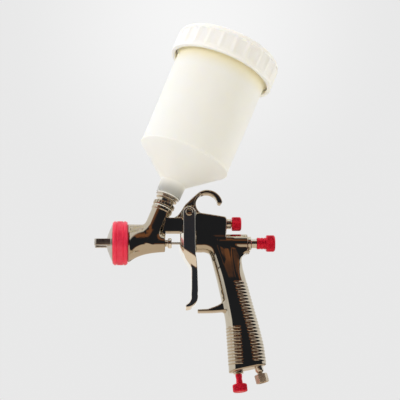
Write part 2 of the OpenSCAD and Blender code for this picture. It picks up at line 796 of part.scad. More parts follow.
module fluid_knob() {
    hub_bore_r = 4.4;
    hub_bore_x = 64.2;
    band = 1;
    color("#b3202c") placed() difference() {
        turned([[hub_bore_r, fluid_hub_x], [fluid_hub_r - 0.3, fluid_hub_x], [fluid_hub_r, fluid_hub_x + 0.4],
            [fluid_hub_r, fluid_head_x], [fluid_knob_r - 0.5, fluid_head_x], [fluid_knob_r, fluid_head_x + 0.6],
            [fluid_knob_r, fluid_end_x - 1], [fluid_knob_r - 1, fluid_end_x], [0, fluid_end_x],
            [0, spindle_end_x + 0.2], [spindle_tip_r + run_fit, spindle_end_x + 0.2],
            [spindle_tip_r + run_fit, spindle_step_x + 0.5], [guide_bore_r + run_fit, spindle_step_x + 0.1],
            [guide_bore_r + run_fit, hub_bore_x], [hub_bore_r, hub_bore_x]]);
        knurl_cuts(fluid_head_x + band, fluid_end_x - 1 - band, fluid_knob_r, 0);
    }
}

// Fan control

module fan_bush() {
    flange_x = fan_knob_x - 0.6;
    color("#d9d4c0") placed() difference() {
        union() {
            rod_x(fan_socket_x + fan_packing_l + 0.2, upper_rear_x + 0.1, fan_socket_r - run_fit, fan_z);
            turned([[0, upper_rear_x + eps], [fan_bush_r, upper_rear_x + eps], [fan_bush_r, flange_x - 0.5],
                [fan_bush_r - 0.5, flange_x], [0, flange_x]], fan_z);
        }
        rod_x(fan_socket_x, fan_knob_x, fan_rod_r + run_fit, fan_z);
    }
}

module fan_packing() {
    x0 = fan_socket_x + 0.1;
    color("#f2f0e6") placed() tube_x(x0, x0 + fan_packing_l, fan_socket_r - 0.1, fan_rod_r + 0.03, fan_z);
}

module fan_spindle() {
    end_x = fan_end_x - 1.8;
    color("#c8a75a") placed()
        turned([[0, fan_tip_x], [0.6, fan_tip_x], [fan_rod_r, fan_tip_x + 6], [fan_rod_r, end_x],
            [0, end_x]], fan_z);
}

module fan_knob() {
    band = 1;
    color("#b3202c") placed() difference() {
        turned([[fan_rod_r + run_fit, fan_knob_x], [fan_knob_r - 0.6, fan_knob_x],
            [fan_knob_r, fan_knob_x + 0.6], [fan_knob_r, fan_end_x - 1], [fan_knob_r - 1, fan_end_x],
            [0, fan_end_x], [0, fan_end_x - 1.6], [fan_rod_r + run_fit, fan_end_x - 1.6]], fan_z);
        knurl_cuts(fan_knob_x + band, fan_end_x - 1 - band, fan_knob_r, fan_z);
    }
}

// Air control: depths run down from the foot

module on_air() { placed() on_foot(air_seat, air_tilt) children(); }

module air_bush() {
    in_l = 8;
    color("#d9d4c0") on_air() difference() {
        union() {
            translate([0, 0, -in_l]) cylinder(h = in_l + 1, r = air_socket_r - run_fit);
            translate([0, 0, air_face + run_fit]) cylinder(h = 2.4, r = air_bush_r);
        }
        translate([0, 0, -air_way_l]) cylinder(h = 2 * air_way_l, r = air_rod_r + run_fit);
    }
}

module air_packing() {
    r = air_socket_r - 0.1;
    l = 2.4;
    color("#f2f0e6") on_air() translate([0, 0, -10.5])
        rotate_extrude()
            polygon([[air_rod_r + 0.03, 0], [r, 0], [r, l], [air_rod_r + 0.03, l]]);
}

module air_spindle() {
    tip = 3 - air_way_l;
    color("#c8a75a") on_air() rotate_extrude()
        polygon([[0, tip], [0.6, tip], [air_rod_r, tip + 4], [air_rod_r, air_rod_end], [0, air_rod_end]]);
}

module air_knob() {
    top = 3.7;
    waist = top + air_neck_len;
    end = waist + air_head_len;
    groove_r = 0.5;
    color("#b3202c") on_air() difference() {
        rotate_extrude()
            polygon([[air_rod_r + run_fit, top], [air_neck_r, top], [air_neck_r, top + 2],
                [air_neck_r - 0.35, top + 4],
                [air_neck_r, waist - 0.8], [air_knob_r - 0.6, waist], [air_knob_r, waist + 0.7],
                [air_knob_r, end - 0.8], [air_knob_r - 0.9, end], [0, end],
                [0, air_rod_end + 0.2], [air_rod_r + run_fit, air_rod_end + 0.2]]);
        for (k = [0:knurls - 1])
            rotate(360 * k / knurls)
                translate([air_knob_r + groove_r / 2, 0, waist + 1.4])
                    cylinder(h = air_head_len - 2.8, r = groove_r);
    }
}

// Air inlet

module on_inlet() { placed() on_foot(inlet_seat, inlet_tilt) children(); }

module inlet_nipple() {
    bore_r = 1.5;
    color("#d9d4c0") on_inlet() rotate_extrude()
        polygon([[bore_r, -nipple_in_l], [nipple_r - run_fit, -nipple_in_l], [nipple_r - run_fit, 2.4],
            [nipple_r - 0.6, 3.4],
            [nipple_neck_r, 4.6], [nipple_neck_r, nipple_collar_s], [nipple_collar_r, nipple_collar_s],
            [nipple_collar_r, nipple_end_s], [bore_r, nipple_end_s]]);
}

module inlet_washer() {
    hole_r = 1.6;
    t = nipple_socket_l - nipple_in_l - 0.2;
    color("#e8e6dc") on_inlet() translate([0, 0, 0.1 - nipple_socket_l])
        rotate_extrude() polygon([[hole_r, 0], [nipple_r - 0.1, 0], [nipple_r - 0.1, t], [hole_r, t]]);
}

// Swivel nut, one flat to each side of the gun
module inlet_nut() {
    top = inlet_mouth_l - nut_len;
    chamfer_r = nut_af / sqrt(3);
    color("#d9d4c0") on_inlet() difference() {
        intersection() {
            translate([0, 0, top]) cylinder(h = nut_len, r = chamfer_r, $fn = 6);
            rotate_extrude()
                polygon([[0, top], [chamfer_r - 0.7, top], [chamfer_r + 0.1, top + 0.6],
                    [chamfer_r + 0.1, inlet_mouth_l - 0.6], [chamfer_r - 0.7, inlet_mouth_l],
                    [0, inlet_mouth_l]]);
        }
        cylinder(h = inlet_mouth_l, r = nipple_neck_r + 0.15);
        // Relief that turns on the nipple's collar, and the threaded bore below it
        translate([0, 0, nipple_collar_s - 0.1])
            cylinder(h = thread_start_s - nipple_collar_s + 0.1, r = nut_bore_r + 0.35);
        translate([0, 0, thread_start_s - eps]) cylinder(h = nut_len, r = nut_bore_r);
    }
}

// Cup

module inlet_gasket() {
    in_r = inlet_thread_r - 0.2;
    out_r = inlet_rim_r - 1.3;
    s0 = inlet_end_s + eps;
    s1 = inlet_end_s + 0.9;
    color("#e8e6dc") placed() cup_turned([[in_r, s0], [out_r, s0], [out_r, s1], [in_r, s1]]);
}

// Metal connector between the gun's inlet and the plastic neck
module cup_connector() {
    bore_r = 4.4;
    stem_end_s = inlet_socket_s + 0.6;
    collar_s = lock_nut_end_s + 0.1;
    stem_r = inlet_thread_r - 0.3;
    flange_r = 9.7;
    groove_r = 8.9;
    sleeve_r = neck_bore_r - 0.1;
    color("#3a3b40") placed()
        cup_turned([[bore_r, stem_end_s], [stem_r, stem_end_s], [stem_r, collar_s],
            [connector_collar_r, collar_s], [connector_collar_r, connector_flange_s - 0.4],
            [flange_r - 0.5, connector_flange_s - 0.1], [flange_r, connector_flange_s + 0.4],
            [flange_r, connector_flange_s + 0.9], [groove_r, connector_flange_s + 1.2],
            [groove_r, neck_s - 2], [flange_r, neck_s - 1.7], [flange_r, neck_s - 0.9],
            [sleeve_r, neck_s - 0.9], [sleeve_r, connector_top_s - 0.6],
            [sleeve_r - 1.1, connector_top_s], [bore_r, connector_top_s]]);
}

// Lock nut against the gun's inlet: a narrow foot and a gripped ring
module inlet_lock_nut() {
    s0 = inlet_end_s + 0.95;
    ring_s = s0 + 0.5;
    s1 = lock_nut_end_s;
    foot_r = 8.1;
    r = 9.8;
    grips = 20;
    grip_cut_r = 0.7;
    color("#303238") placed() difference() {
        cup_turned([[inlet_thread_r - 0.25, s0], [foot_r, s0], [foot_r, ring_s], [r - 0.5, ring_s],
            [r, ring_s + 0.5], [r, s1 - 0.5], [r - 0.5, s1], [inlet_thread_r - 0.25, s1]]);
        for (k = [0:grips - 1])
            on_cup() rotate(360 * k / grips)
                translate([r + grip_cut_r / 2, 0, ring_s - 1]) cylinder(h = s1 - ring_s + 2, r = grip_cut_r);
    }
}

module cup_gasket() {
    s0 = neck_s - 0.85;
    s1 = neck_s - 0.05;
    color("#e8e6dc") placed()
        cup_turned([[neck_bore_r, s0], [neck_r - 0.4, s0], [neck_r - 0.4, s1], [neck_bore_r, s1]]);
}

// Slotted sieve standing in the neck
module cup_strainer() {
    s0 = connector_top_s + 0.4;
    s1 = shoulder_s - 0.8;
    hole_r = 3.6;
    rim_r = neck_bore_r - 0.4;
    r = 6.6;
    taper = 1.2;
    wall = 1.2;
    slots = 6;
    slot_w = 2;
    color("#eeeae0") placed() difference() {
        cup_turned([[hole_r, s0], [rim_r, s0], [rim_r, s0 + 1], [r, s0 + 1], [r - taper, s1],
            [0, s1], [0, s1 - 1], [r - taper - wall, s1 - 1], [r - wall, s0 + 1], [hole_r, s0 + 1]]);
        for (k = [0:slots - 1])
            on_cup() rotate(360 * k / slots) translate([0, -slot_w / 2, s0 + 4])
                cube([2 * r, slot_w, s1 - s0 - 8]);
    }
}

// Cup: neck, cone, shoulder ridge, wall with a little draft and a threaded rim under the lid
module cup() {
    corner = 1;
    ridge = 0.6;
    ridge_r = cup_r + ridge;
    beads = 3;
    bead_s = lid_s + 3;
    color("#e9e6da") placed()
        cup_turned(concat(
            [[neck_bore_r, neck_s], [neck_r - 0.5, neck_s], [neck_r, neck_s + 0.6], [neck_top_r, neck_top_s]],
            [for (a = [-55:11:33]) [ridge_r - corner + corner * cos(a), shoulder_s + corner * sin(a)]],
            [[cup_r, shoulder_s + 2 * corner]],
            [[cup_rim_r, bead_s - 2], [thread_root_r, bead_s - 1.5]],
            [for (k = [0:beads - 1])
                let (s = bead_s + thread_pitch * k)
                each [[thread_root_r, s], [thread_r, s + 0.9], [thread_r, s + 1.5], [thread_root_r, s + 2.4]]],
            [[thread_root_r, rim_s - 0.4], [thread_root_r - 0.4, rim_s], [cup_rim_r - cup_wall, rim_s]],
            [[cup_r - cup_wall, shoulder_s + 0.5], [cup_r - cup_wall - 1.2, shoulder_s - 0.9]],
            [[neck_bore_r + 0.6, neck_top_s + 1.6], [neck_bore_r, neck_top_s]]));
}

module lid_seal() {
    in_r = cup_rim_r - 3.4;
    s0 = rim_s + 0.2;
    s1 = s0 + seal_t;
    color("#f2f0e6") placed()
        cup_turned([[in_r, s0], [thread_root_r, s0], [thread_root_r, s1], [in_r, s1]]);
}

// Screw lid with a fluted skirt, a round shoulder and a low boss for the vent
module lid() {
    round_r = 7;
    flute_r = 12;
    flute_depth = 1.1;
    boss_r = 9;
    boss_h = 2;
    in_corner = 2.2;
    in_top = lid_top_s - lid_top_t;
    color("#f0eee4") placed() difference() {
        cup_turned(concat(
            [[lid_bore_r, lid_s], [lid_r - 0.6, lid_s], [lid_r, lid_s + 0.6]],
            [for (a = [0:15:90]) [lid_r - round_r + round_r * cos(a), lid_top_s - round_r + round_r * sin(a)]],
            [[boss_r, lid_top_s + 0.6], [boss_r, lid_top_s + boss_h], [vent_r + 0.2, lid_top_s + boss_h],
                [vent_r + 0.2, in_top], [lid_bore_r - in_corner, in_top], [lid_bore_r, in_top - in_corner]]));
        for (k = [0:lid_flutes - 1])
            on_cup() rotate(360 * (k + 0.5) / lid_flutes)
                translate([lid_r + flute_r - flute_depth, 0, lid_s + 3.2])
                    cylinder(h = lid_h - 9.4, r = flute_r);
    }
}

// Push-in vent plug on the lid
module vent_plug() {
    s1 = lid_top_s + 2.1;
    bore_r = 1.2;
    foot_s = s1 - 4.6;
    cap_r = vent_r + 2;
    cap_s = s1 + 3.2;
    edge = 0.8;
    color("#dcd8c8") placed()
        cup_turned([[bore_r, foot_s], [vent_r, foot_s], [vent_r, s1], [cap_r, s1], [cap_r, cap_s - edge],
            [cap_r - edge, cap_s], [bore_r, cap_s]]);
}

gun_body();
air_baffle();
fluid_nozzle();
air_cap();
cap_seal();
retaining_ring();
fluid_needle();
needle_collar();
needle_packing();
packing_nut();
needle_spring();
trigger();
trigger_pin();
trigger_pin_screw();
valve_bush();
valve_packing();
valve_seat();
valve_stem();
poppet_seal();
valve_spring();
fluid_guide();
fluid_spindle();
fluid_knob();
fan_bush();
fan_packing();
fan_spindle();
fan_knob();
air_bush();
air_packing();
air_spindle();
air_knob();
inlet_nipple();
inlet_washer();
inlet_nut();
inlet_gasket();
cup_connector();
inlet_lock_nut();
cup_gasket();
cup_strainer();
cup();
lid_seal();
lid();
vent_plug();
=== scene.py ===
"""Looks of the gravity-feed spray gun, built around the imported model.

Sizes are millimetres in the gun's own datum: the trigger pivot is at x = 0 and z = PIVOT_Z,
the needle lies on z = 0, the nozzle points along -X and +Z is up. to_frame() turns them into
the frame's metres. Forged and cast pieces are skins of distance fields, turned pieces are lathes.
"""

import json
import math

import bmesh
import bpy
import numpy as np
from mathutils import Matrix, Vector


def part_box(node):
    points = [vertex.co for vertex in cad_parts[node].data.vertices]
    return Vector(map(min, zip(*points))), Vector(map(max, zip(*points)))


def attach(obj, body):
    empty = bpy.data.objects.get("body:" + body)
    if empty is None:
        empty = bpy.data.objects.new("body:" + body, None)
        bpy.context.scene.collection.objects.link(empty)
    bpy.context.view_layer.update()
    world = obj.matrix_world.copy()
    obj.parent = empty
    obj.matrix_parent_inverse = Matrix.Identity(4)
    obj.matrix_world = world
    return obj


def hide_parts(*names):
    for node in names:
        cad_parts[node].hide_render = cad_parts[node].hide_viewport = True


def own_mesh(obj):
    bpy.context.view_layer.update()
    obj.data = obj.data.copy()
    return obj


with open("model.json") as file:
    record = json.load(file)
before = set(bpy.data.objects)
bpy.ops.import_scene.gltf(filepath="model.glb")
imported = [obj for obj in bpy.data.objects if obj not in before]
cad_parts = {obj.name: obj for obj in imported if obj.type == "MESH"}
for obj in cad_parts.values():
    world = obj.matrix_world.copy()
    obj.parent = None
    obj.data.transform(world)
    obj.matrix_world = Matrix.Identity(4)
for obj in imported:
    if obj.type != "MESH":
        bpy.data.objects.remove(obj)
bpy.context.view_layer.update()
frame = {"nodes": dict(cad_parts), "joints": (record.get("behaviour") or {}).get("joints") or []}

MM = 0.001
PIVOT_Z = 25.0
JOINTS = {joint["name"]: joint for joint in frame["joints"]}
DATUM = np.array(JOINTS["trigger_pull"]["pos_m"]) - [0, 0, PIVOT_Z * MM]


def to_frame(points):
    """Datum millimetres to the frame's metres."""
    return np.asarray(points, float) * MM + DATUM


def joint_axis(name):
    """A joint's point, in datum millimetres, and its direction."""
    joint = JOINTS[name]
    return (np.array(joint["pos_m"]) - DATUM) / MM, np.array(joint["axis"], float)


NEEDLE_AXIS = (np.zeros(3), np.array([1.0, 0, 0]))
CUP_AXIS = joint_axis("cup_turn")
AIR_AXIS = joint_axis("air_turn")
INLET_AXIS = joint_axis("nut_spin")
FAN_AXIS = joint_axis("fan_turn")

# Distance fields: each takes points (n, 3) and gives a distance, negative inside

FAR, TINY = 1e9, 1e-12


def smooth_min(a, b, k):
    """The union of two fields with a fillet of about k."""
    h = np.clip(0.5 + 0.5 * (b - a) / k, 0, 1)
    return b + (a - b) * h - k * h * (1 - h)


def smooth_max(a, b, k):
    """The common part of two fields with an edge rounded by about k."""
    return -smooth_min(-a, -b, k)


def crossed(a, b, edge):
    """The common part of two fields with a true round edge."""
    a = a + edge
    b = b + edge
    return np.hypot(np.maximum(a, 0), np.maximum(b, 0)) + np.minimum(np.maximum(a, b), 0) - edge


def outline(points, u, v):
    """Signed distance to a closed outline in a plane."""
    nearest = np.full(u.shape, FAR)
    inside = np.zeros(u.shape, bool)
    for (ax, ay), (bx, by) in zip(points, points[1:] + points[:1]):
        ex, ey = bx - ax, by - ay
        px, py = u - ax, v - ay
        t = np.clip((px * ex + py * ey) / max(ex * ex + ey * ey, TINY), 0, 1)
        nearest = np.minimum(nearest, (px - ex * t) ** 2 + (py - ey * t) ** 2)
        if ey != 0:
            inside ^= ((ay <= v) != (by <= v)) & (px < ex * py / ey)
    return np.where(inside, -1, 1) * np.sqrt(nearest)


def plate(p, points, half_width, edge):
    """A side-view outline, drawn out across the gun, with round edges."""
    return crossed(outline(points, p[:, 0], p[:, 2]), np.abs(p[:, 1]) - half_width, edge)


def along(p, axis):
    """Distance along an axis and distance from it."""
    origin, direction = axis
    s = (p - origin) @ direction
    return s, np.linalg.norm(p - origin - np.outer(s, direction), axis=1)


def turned(p, axis, radius, start, end, edge):
    """A solid of revolution: radius is a number or a function of the distance along the axis."""
    s, r = along(p, axis)
    side = r - (radius(s) if callable(radius) else radius)
    return crossed(side, np.maximum(start - s, s - end), edge)


def rod(p, a, b, radius, edge):
    """A round bar between two side-view points."""
    a = np.array([a[0], 0, a[1]], float)
    b = np.array([b[0], 0, b[1]], float)
    length = np.linalg.norm(b - a)
    return turned(p, (a, (b - a) / length), radius, 0, length, edge)


def cross_rod(p, x, z, radius, half_width, edge):
    """A round bar across the gun."""
    return crossed(np.hypot(p[:, 0] - x, p[:, 2] - z) - radius, np.abs(p[:, 1]) - half_width, edge)


def arc(centre, radius, start, end, steps):
    """Points of an arc, in degrees."""
    angles = np.radians(np.linspace(start, end, steps + 1))
    return [(centre[0] + radius * math.cos(a), centre[1] + radius * math.sin(a)) for a in angles]


# Skins: a field's surface as a mesh

BLOCK, CHUNK, NEAR_BLOCKS = 4, 300000, 2.0
SLOPE_REACH, LEAST_SLOPE = 0.03, 0.2
SETTLE_ROUNDS, SETTLE_STEP = 3, 0.4


def sampled(field, points):
    """The field at many points, a chunk at a time."""
    parts = [field(points[i : i + CHUNK]) for i in range(0, len(points), CHUNK)]
    return np.concatenate(parts) if parts else np.zeros(0)


def grid_values(field, low, counts, step):
    """The field on a grid, worked out only in the blocks that the surface may pass."""
    blocks = (counts - 1) // BLOCK
    index = np.stack(np.meshgrid(*[np.arange(b) for b in blocks], indexing="ij"), -1).reshape(-1, 3)
    middle = sampled(field, low + (index + 0.5) * BLOCK * step)
    near = index[np.abs(middle) < NEAR_BLOCKS * BLOCK * step]
    values = np.ones(counts)
    inside = middle.reshape(blocks) < 0
    for axis in range(3):
        inside = np.repeat(inside, BLOCK, axis)
    values[:-1, :-1, :-1][inside] = -1
    wanted = np.zeros(counts, bool)
    for offset in np.ndindex(BLOCK + 1, BLOCK + 1, BLOCK + 1):
        wanted[tuple((near * BLOCK + offset).T)] = True
    values[wanted] = sampled(field, low + np.argwhere(wanted) * step)
    return values


def surface_net(values):
    """Vertices in grid steps and quads of the surface where the values change sign."""
    inside = values < 0
    corners = list(np.ndindex(2, 2, 2))
    cells = np.array(values.shape) - 1
    count = np.zeros(cells, np.int8)
    for corner in corners:
        count += inside[tuple(slice(c, c + n) for c, n in zip(corner, cells))]
    cell = np.argwhere((count > 0) & (count < 8))
    number = np.full(cells, -1)
    number[tuple(cell.T)] = np.arange(len(cell))
    total = np.zeros((len(cell), 3))
    hits = np.zeros(len(cell))
    for a in corners:
        for axis in range(3):
            if a[axis]:
                continue
            b = tuple(1 if n == axis else a[n] for n in range(3))
            va = values[tuple((cell + a).T)]
            vb = values[tuple((cell + b).T)]
            hit = (va < 0) != (vb < 0)
            t = np.where(hit, va / np.where(hit, va - vb, 1), 0)
            total += np.where(hit[:, None], np.array(a) + t[:, None] * (np.array(b) - a), 0)
            hits += hit
    quads = []
    for axis in range(3):
        one, two = [n for n in range(3) if n != axis]
        ahead = np.zeros(3, int)
        ahead[axis] = 1
        near = inside[tuple(slice(None, -1) if n == axis else slice(1, -1) for n in range(3))]
        far = inside[tuple(slice(1, None) if n == axis else slice(1, -1) for n in range(3))]
        for sign in (0, 1):
            edge = np.argwhere((near != far) & (near == bool(sign)))
            edge[:, one] += 1
            edge[:, two] += 1
            ring = []
            for da, db in ((1, 1), (0, 1), (0, 0), (1, 0)):
                shift = np.zeros(3, int)
                shift[one], shift[two] = -da, -db
                ring.append(number[tuple((edge + shift).T)])
            order = ring if bool(sign) == (axis != 1) else ring[::-1]
            quads.append(np.stack(order, 1))
    return cell + total / hits[:, None], np.concatenate(quads)


def gradient(field, points):
    """The field's slope at each point."""
    slopes = []
    for axis in range(3):
        shift = np.zeros(3)
        shift[axis] = SLOPE_REACH
        rise = sampled(field, points + shift) - sampled(field, points - shift)
        slopes.append(rise / (2 * SLOPE_REACH))
    return np.stack(slopes, 1)


def skin(name, field, low, high, step):
    """A smooth mesh of a field's surface, with normals from the field itself."""
    low = np.array(low, float)
    counts = (np.ceil((np.array(high) - low) / (BLOCK * step)).astype(int)) * BLOCK + 1
    vertices, quads = surface_net(grid_values(field, low, counts, step))
    points = low + vertices * step
    for _ in range(SETTLE_ROUNDS):
        slope = gradient(field, points)
        length = np.maximum((slope**2).sum(1), LEAST_SLOPE)
        move = -(sampled(field, points) / length)[:, None] * slope
        points += np.clip(move, -SETTLE_STEP * step, SETTLE_STEP * step)
    normals = gradient(field, points)
    normals /= np.maximum(np.linalg.norm(normals, axis=1), TINY)[:, None]
    mesh = bpy.data.meshes.new(name)
    mesh.from_pydata(to_frame(points).tolist(), [], quads.tolist())
    mesh.polygons.foreach_set("use_smooth", np.ones(len(quads), bool))
    mesh.normals_split_custom_set_from_vertices(normals.tolist())
    return linked(name, mesh)


def linked(name, mesh):
    """A new object in the scene."""
    piece = bpy.data.objects.new(name, mesh)
    bpy.context.scene.collection.objects.link(piece)
    return piece


# Lathes: turned pieces

SHARP, FLAT, CAUGHT = math.radians(38), math.radians(1), math.radians(35)
CURVE_STEPS, CURVE_SHARE = 3, 0.45
WELD, FINE_WELD, EDGE_WIDTH = 0.002, 0.001, 0.2


def rounded(profile, radius):
    """A profile of points (radius, along) with each inner corner turned into a small curve."""
    points = [np.array(q, float) for q in profile]
    out = [points[0]]
    for before, corner, after in zip(points, points[1:], points[2:]):
        cuts = []
        for way in (before - corner, after - corner):
            length = np.linalg.norm(way)
            cuts.append(min(radius, CURVE_SHARE * length) * way / length)
        for t in np.linspace(0, 1, CURVE_STEPS + 1):
            out.append(corner + (1 - t) ** 2 * cuts[0] + t**2 * cuts[1])
    return out + [points[-1]]


def dense(profile, step):
    """A profile with points no further apart than step."""
    out = [np.array(profile[0], float)]
    for a, b in zip(profile, profile[1:]):
        a, b = np.array(a, float), np.array(b, float)
        pieces = max(1, math.ceil(np.linalg.norm(b - a) / step))
        out += [a + (b - a) * n / pieces for n in range(1, pieces + 1)]
    return out


def lathe(name, profile, axis, segments, ripple=None):
    """A mesh turned from points (radius, along).

    ripple(angle, radius, along) gives the cut into the radius.
    """
    origin, direction = axis
    across = np.array([0.0, 1.0, 0.0])
    third = np.cross(direction, across)
    profile = np.array(profile, float)
    angle = np.arange(segments) * 2 * np.pi / segments
    r, a = np.meshgrid(profile[:, 0], angle, indexing="ij")
    s = np.meshgrid(profile[:, 1], angle, indexing="ij")[0]
    if ripple is not None:
        r = r - ripple(a, r, s)
    spokes = np.cos(a)[..., None] * across + np.sin(a)[..., None] * third
    points = (origin + s[..., None] * direction + r[..., None] * spokes).reshape(-1, 3)
    ring, spoke = np.meshgrid(np.arange(len(profile) - 1), np.arange(segments), indexing="ij")
    follow = (spoke + 1) % segments
    faces = np.stack([q.ravel() for q in (ring * segments + spoke, ring * segments + follow,
                                          (ring + 1) * segments + follow, (ring + 1) * segments + spoke)], 1)
    mesh = bpy.data.meshes.new(name)
    mesh.from_pydata(to_frame(points).tolist(), [], faces.tolist())
    return finished(linked(name, mesh))


def finished(piece):
    """Joins what meets, turns the faces outward and shades smooth between the sharp edges."""
    bm = bmesh.new()
    bm.from_mesh(piece.data)
    bmesh.ops.remove_doubles(bm, verts=bm.verts, dist=WELD * MM)
    bmesh.ops.recalc_face_normals(bm, faces=bm.faces)
    bm.to_mesh(piece.data)
    bm.free()
    piece.data.polygons.foreach_set("use_smooth", np.ones(len(piece.data.polygons), bool))
    piece.data.set_sharp_from_angle(angle=SHARP)
    return piece


def softened(node):
    """A copy of a CAD node whose sharp edges are small bevels that catch the light."""
    mesh = frame["nodes"][node].data.copy()
    bm = bmesh.new()
    bm.from_mesh(mesh)
    bmesh.ops.remove_doubles(bm, verts=bm.verts, dist=FINE_WELD * MM)
    bmesh.ops.dissolve_limit(bm, angle_limit=FLAT, verts=bm.verts, edges=bm.edges)
    sharp = [e for e in bm.edges if len(e.link_faces) == 2 and e.calc_face_angle(0) > CAUGHT]
    bmesh.ops.bevel(bm, geom=sharp, offset=EDGE_WIDTH * MM, segments=2, profile=0.5, affect="EDGES",
                    clamp_overlap=True)
    bm.to_mesh(mesh)
    bm.free()
    return finished(linked(node + "_soft", mesh))


# Materials

NOISE_DETAIL, CLOUD, HAZE, GRAIN, GRAIN_DEPTH = 3.0, 60, 240, 500, 0.03
WHITE = (1, 1, 1)
# Painted shade along the cup's axis, in millimetres: grey at the neck and warm just under the lid.
NECK_PAINTED_SHADE, UNDER_LID_PAINTED_SHADE = (48, 62), (158, 188)
PLASTIC = {"Subsurface_Scale": 0.002, "Subsurface_Radius": (1.0, 0.92, 0.72), "IOR": 1.49}


def surface(name, roughness, metallic=0.0, **sockets):
    """A material with its principled shader; even values are set on the shader's own sockets."""
    material = bpy.data.materials.new(name)
    material.use_nodes = True
    shader = material.node_tree.nodes["Principled BSDF"]
    shader.inputs["Roughness"].default_value = roughness
    shader.inputs["Metallic"].default_value = metallic
    for socket, value in sockets.items():
        shader.inputs[socket.replace("_", " ")].default_value = value
    return material


def noise(material, scale):
    """Fine noise in the object's own space; gives its factor."""
    nodes, links = material.node_tree.nodes, material.node_tree.links
    place = nodes.new("ShaderNodeTexCoord")
    texture = nodes.new("ShaderNodeTexNoise")
    texture.inputs["Scale"].default_value = scale
    texture.inputs["Detail"].default_value = NOISE_DETAIL
    links.new(place.outputs["Object"], texture.inputs["Vector"])
    return texture.outputs["Fac"]


def ramp(nodes, stops):
    """A colour ramp with the given stops."""
    node = nodes.new("ShaderNodeValToRGB")
    elements = node.color_ramp.elements
    for at, _ in stops[2:]:
        elements.new(at)
    for element, (at, colour) in zip(elements, stops):
        element.position, element.color = at, (*colour, 1)
    return node


def coloured(material, factor, stops):
    """Drives the base colour from a factor by a ramp of (place, colour)."""
    nodes, links = material.node_tree.nodes, material.node_tree.links
    tone = ramp(nodes, stops)
    links.new(factor, tone.inputs["Fac"])
    links.new(tone.outputs["Color"], nodes["Principled BSDF"].inputs["Base Color"])


def roughened(material, factor, low, high):
    """Drives the roughness from a factor."""
    nodes, links = material.node_tree.nodes, material.node_tree.links
    span = nodes.new("ShaderNodeMapRange")
    span.inputs["To Min"].default_value = low
    span.inputs["To Max"].default_value = high
    links.new(factor, span.inputs["Value"])
    links.new(span.outputs["Result"], nodes["Principled BSDF"].inputs["Roughness"])


def ranged(nodes, links, value, start, end, low, high):
    """A smooth step from one strength to another over a range of a value."""
    span = nodes.new("ShaderNodeMapRange")
    span.interpolation_type = "SMOOTHSTEP"
    for socket, number in (("From Min", start), ("From Max", end), ("To Min", low), ("To Max", high)):
        span.inputs[socket].default_value = number
    links.new(value, span.inputs["Value"])
    return span.outputs["Result"]


def tinted(material, axis, reach, stops):
    """Multiplies the base colour by a ramp of tints over a reach along an axis, in millimetres."""
    nodes, links = material.node_tree.nodes, material.node_tree.links
    place = nodes.new("ShaderNodeTexCoord")
    origin, direction = axis
    height = nodes.new("ShaderNodeVectorMath")
    height.operation = "DOT_PRODUCT"
    height.inputs[1].default_value = direction / MM
    links.new(place.outputs["Object"], height.inputs[0])
    start = to_frame(origin) @ direction / MM
    fade = ranged(nodes, links, height.outputs["Value"], start + reach[0], start + reach[1], 0, 1)
    mix = nodes.new("ShaderNodeMix")
    mix.data_type = "RGBA"
    mix.blend_type = "MULTIPLY"
    mix.inputs["Factor"].default_value = 1.0
    tone = ramp(nodes, stops)
    links.new(fade, tone.inputs["Fac"])
    base = nodes["Principled BSDF"].inputs["Base Color"]
    links.new(base.links[0].from_socket, mix.inputs[6])
    links.new(tone.outputs["Color"], mix.inputs[7])
    links.new(mix.outputs[2], base)


def bumped(material, factor, depth):
    """Drives the normal from a factor; depth is in millimetres."""
    nodes, links = material.node_tree.nodes, material.node_tree.links
    bump = nodes.new("ShaderNodeBump")
    bump.inputs["Strength"].default_value = 1.0
    bump.inputs["Distance"].default_value = depth * MM
    links.new(factor, bump.inputs["Height"])
    links.new(bump.outputs["Normal"], nodes["Principled BSDF"].inputs["Normal"])


def plated(name, colour, worn, roughness):
    """Polished plating: slight clouding of the colour and a faint haze of fine wear."""
    material = surface(name, roughness, 1.0)
    coloured(material, noise(material, CLOUD), [(0.35, colour), (0.7, worn)])
    roughened(material, noise(material, HAZE), roughness * 0.7, roughness * 1.5)
    return material


def anodised(name, colour, worn, metallic, gloss):
    """Dyed aluminium: a satin metal under a clear skin."""
    material = surface(name, 0.32, metallic, Coat_Weight=0.12, Coat_Roughness=0.15,
                       Specular_IOR_Level=gloss)
    coloured(material, noise(material, 300), [(0.3, colour), (0.75, worn)])
    roughened(material, noise(material, 900), 0.26, 0.40)
    return material


def matt(name, roughness, cloud, colour, worn):
    """A soft even material with slight clouding."""
    material = surface(name, roughness)
    coloured(material, noise(material, cloud), [(0.3, colour), (0.7, worn)])
    return material


def moulded(name, roughness, through, cloud, colour, worn):
    """Pale plastic that lets some light through, with a fine grain."""
    material = surface(name, roughness, Subsurface_Weight=through, **PLASTIC)
    coloured(material, noise(material, cloud), [(0.3, colour), (0.7, worn)])
    bumped(material, noise(material, GRAIN), GRAIN_DEPTH)
    return material


def body_chrome():
    """The body's plating, with faint waves in its polish."""
    material = plated("black_chrome", (0.50, 0.44, 0.35), (0.55, 0.49, 0.39), 0.05)
    bumped(material, noise(material, 70), 0.04)
    return material


def cup_plastic():
    """The cup's plastic, with painted shade: grey at its neck, where the metal connector sits inside, and
    warm just under the lid, where the lid shades it.
    """
    material = moulded("cup_plastic", 0.34, 0.6, 14, (0.905, 0.89, 0.82), (0.935, 0.925, 0.87))
    # Painted shade: the neck is greyed where the metal connector sits inside it.
    tinted(material, CUP_AXIS, NECK_PAINTED_SHADE, ((0, (0.50, 0.51, 0.52)), (1, WHITE)))
    # Painted shade: a warm band just under the lid, for the lid's shadow with light coming through the
    # plastic.
    tinted(material, CUP_AXIS, UNDER_LID_PAINTED_SHADE, ((0, WHITE), (0.5, (1, 0.90, 0.64)), (1, WHITE)))
    return material


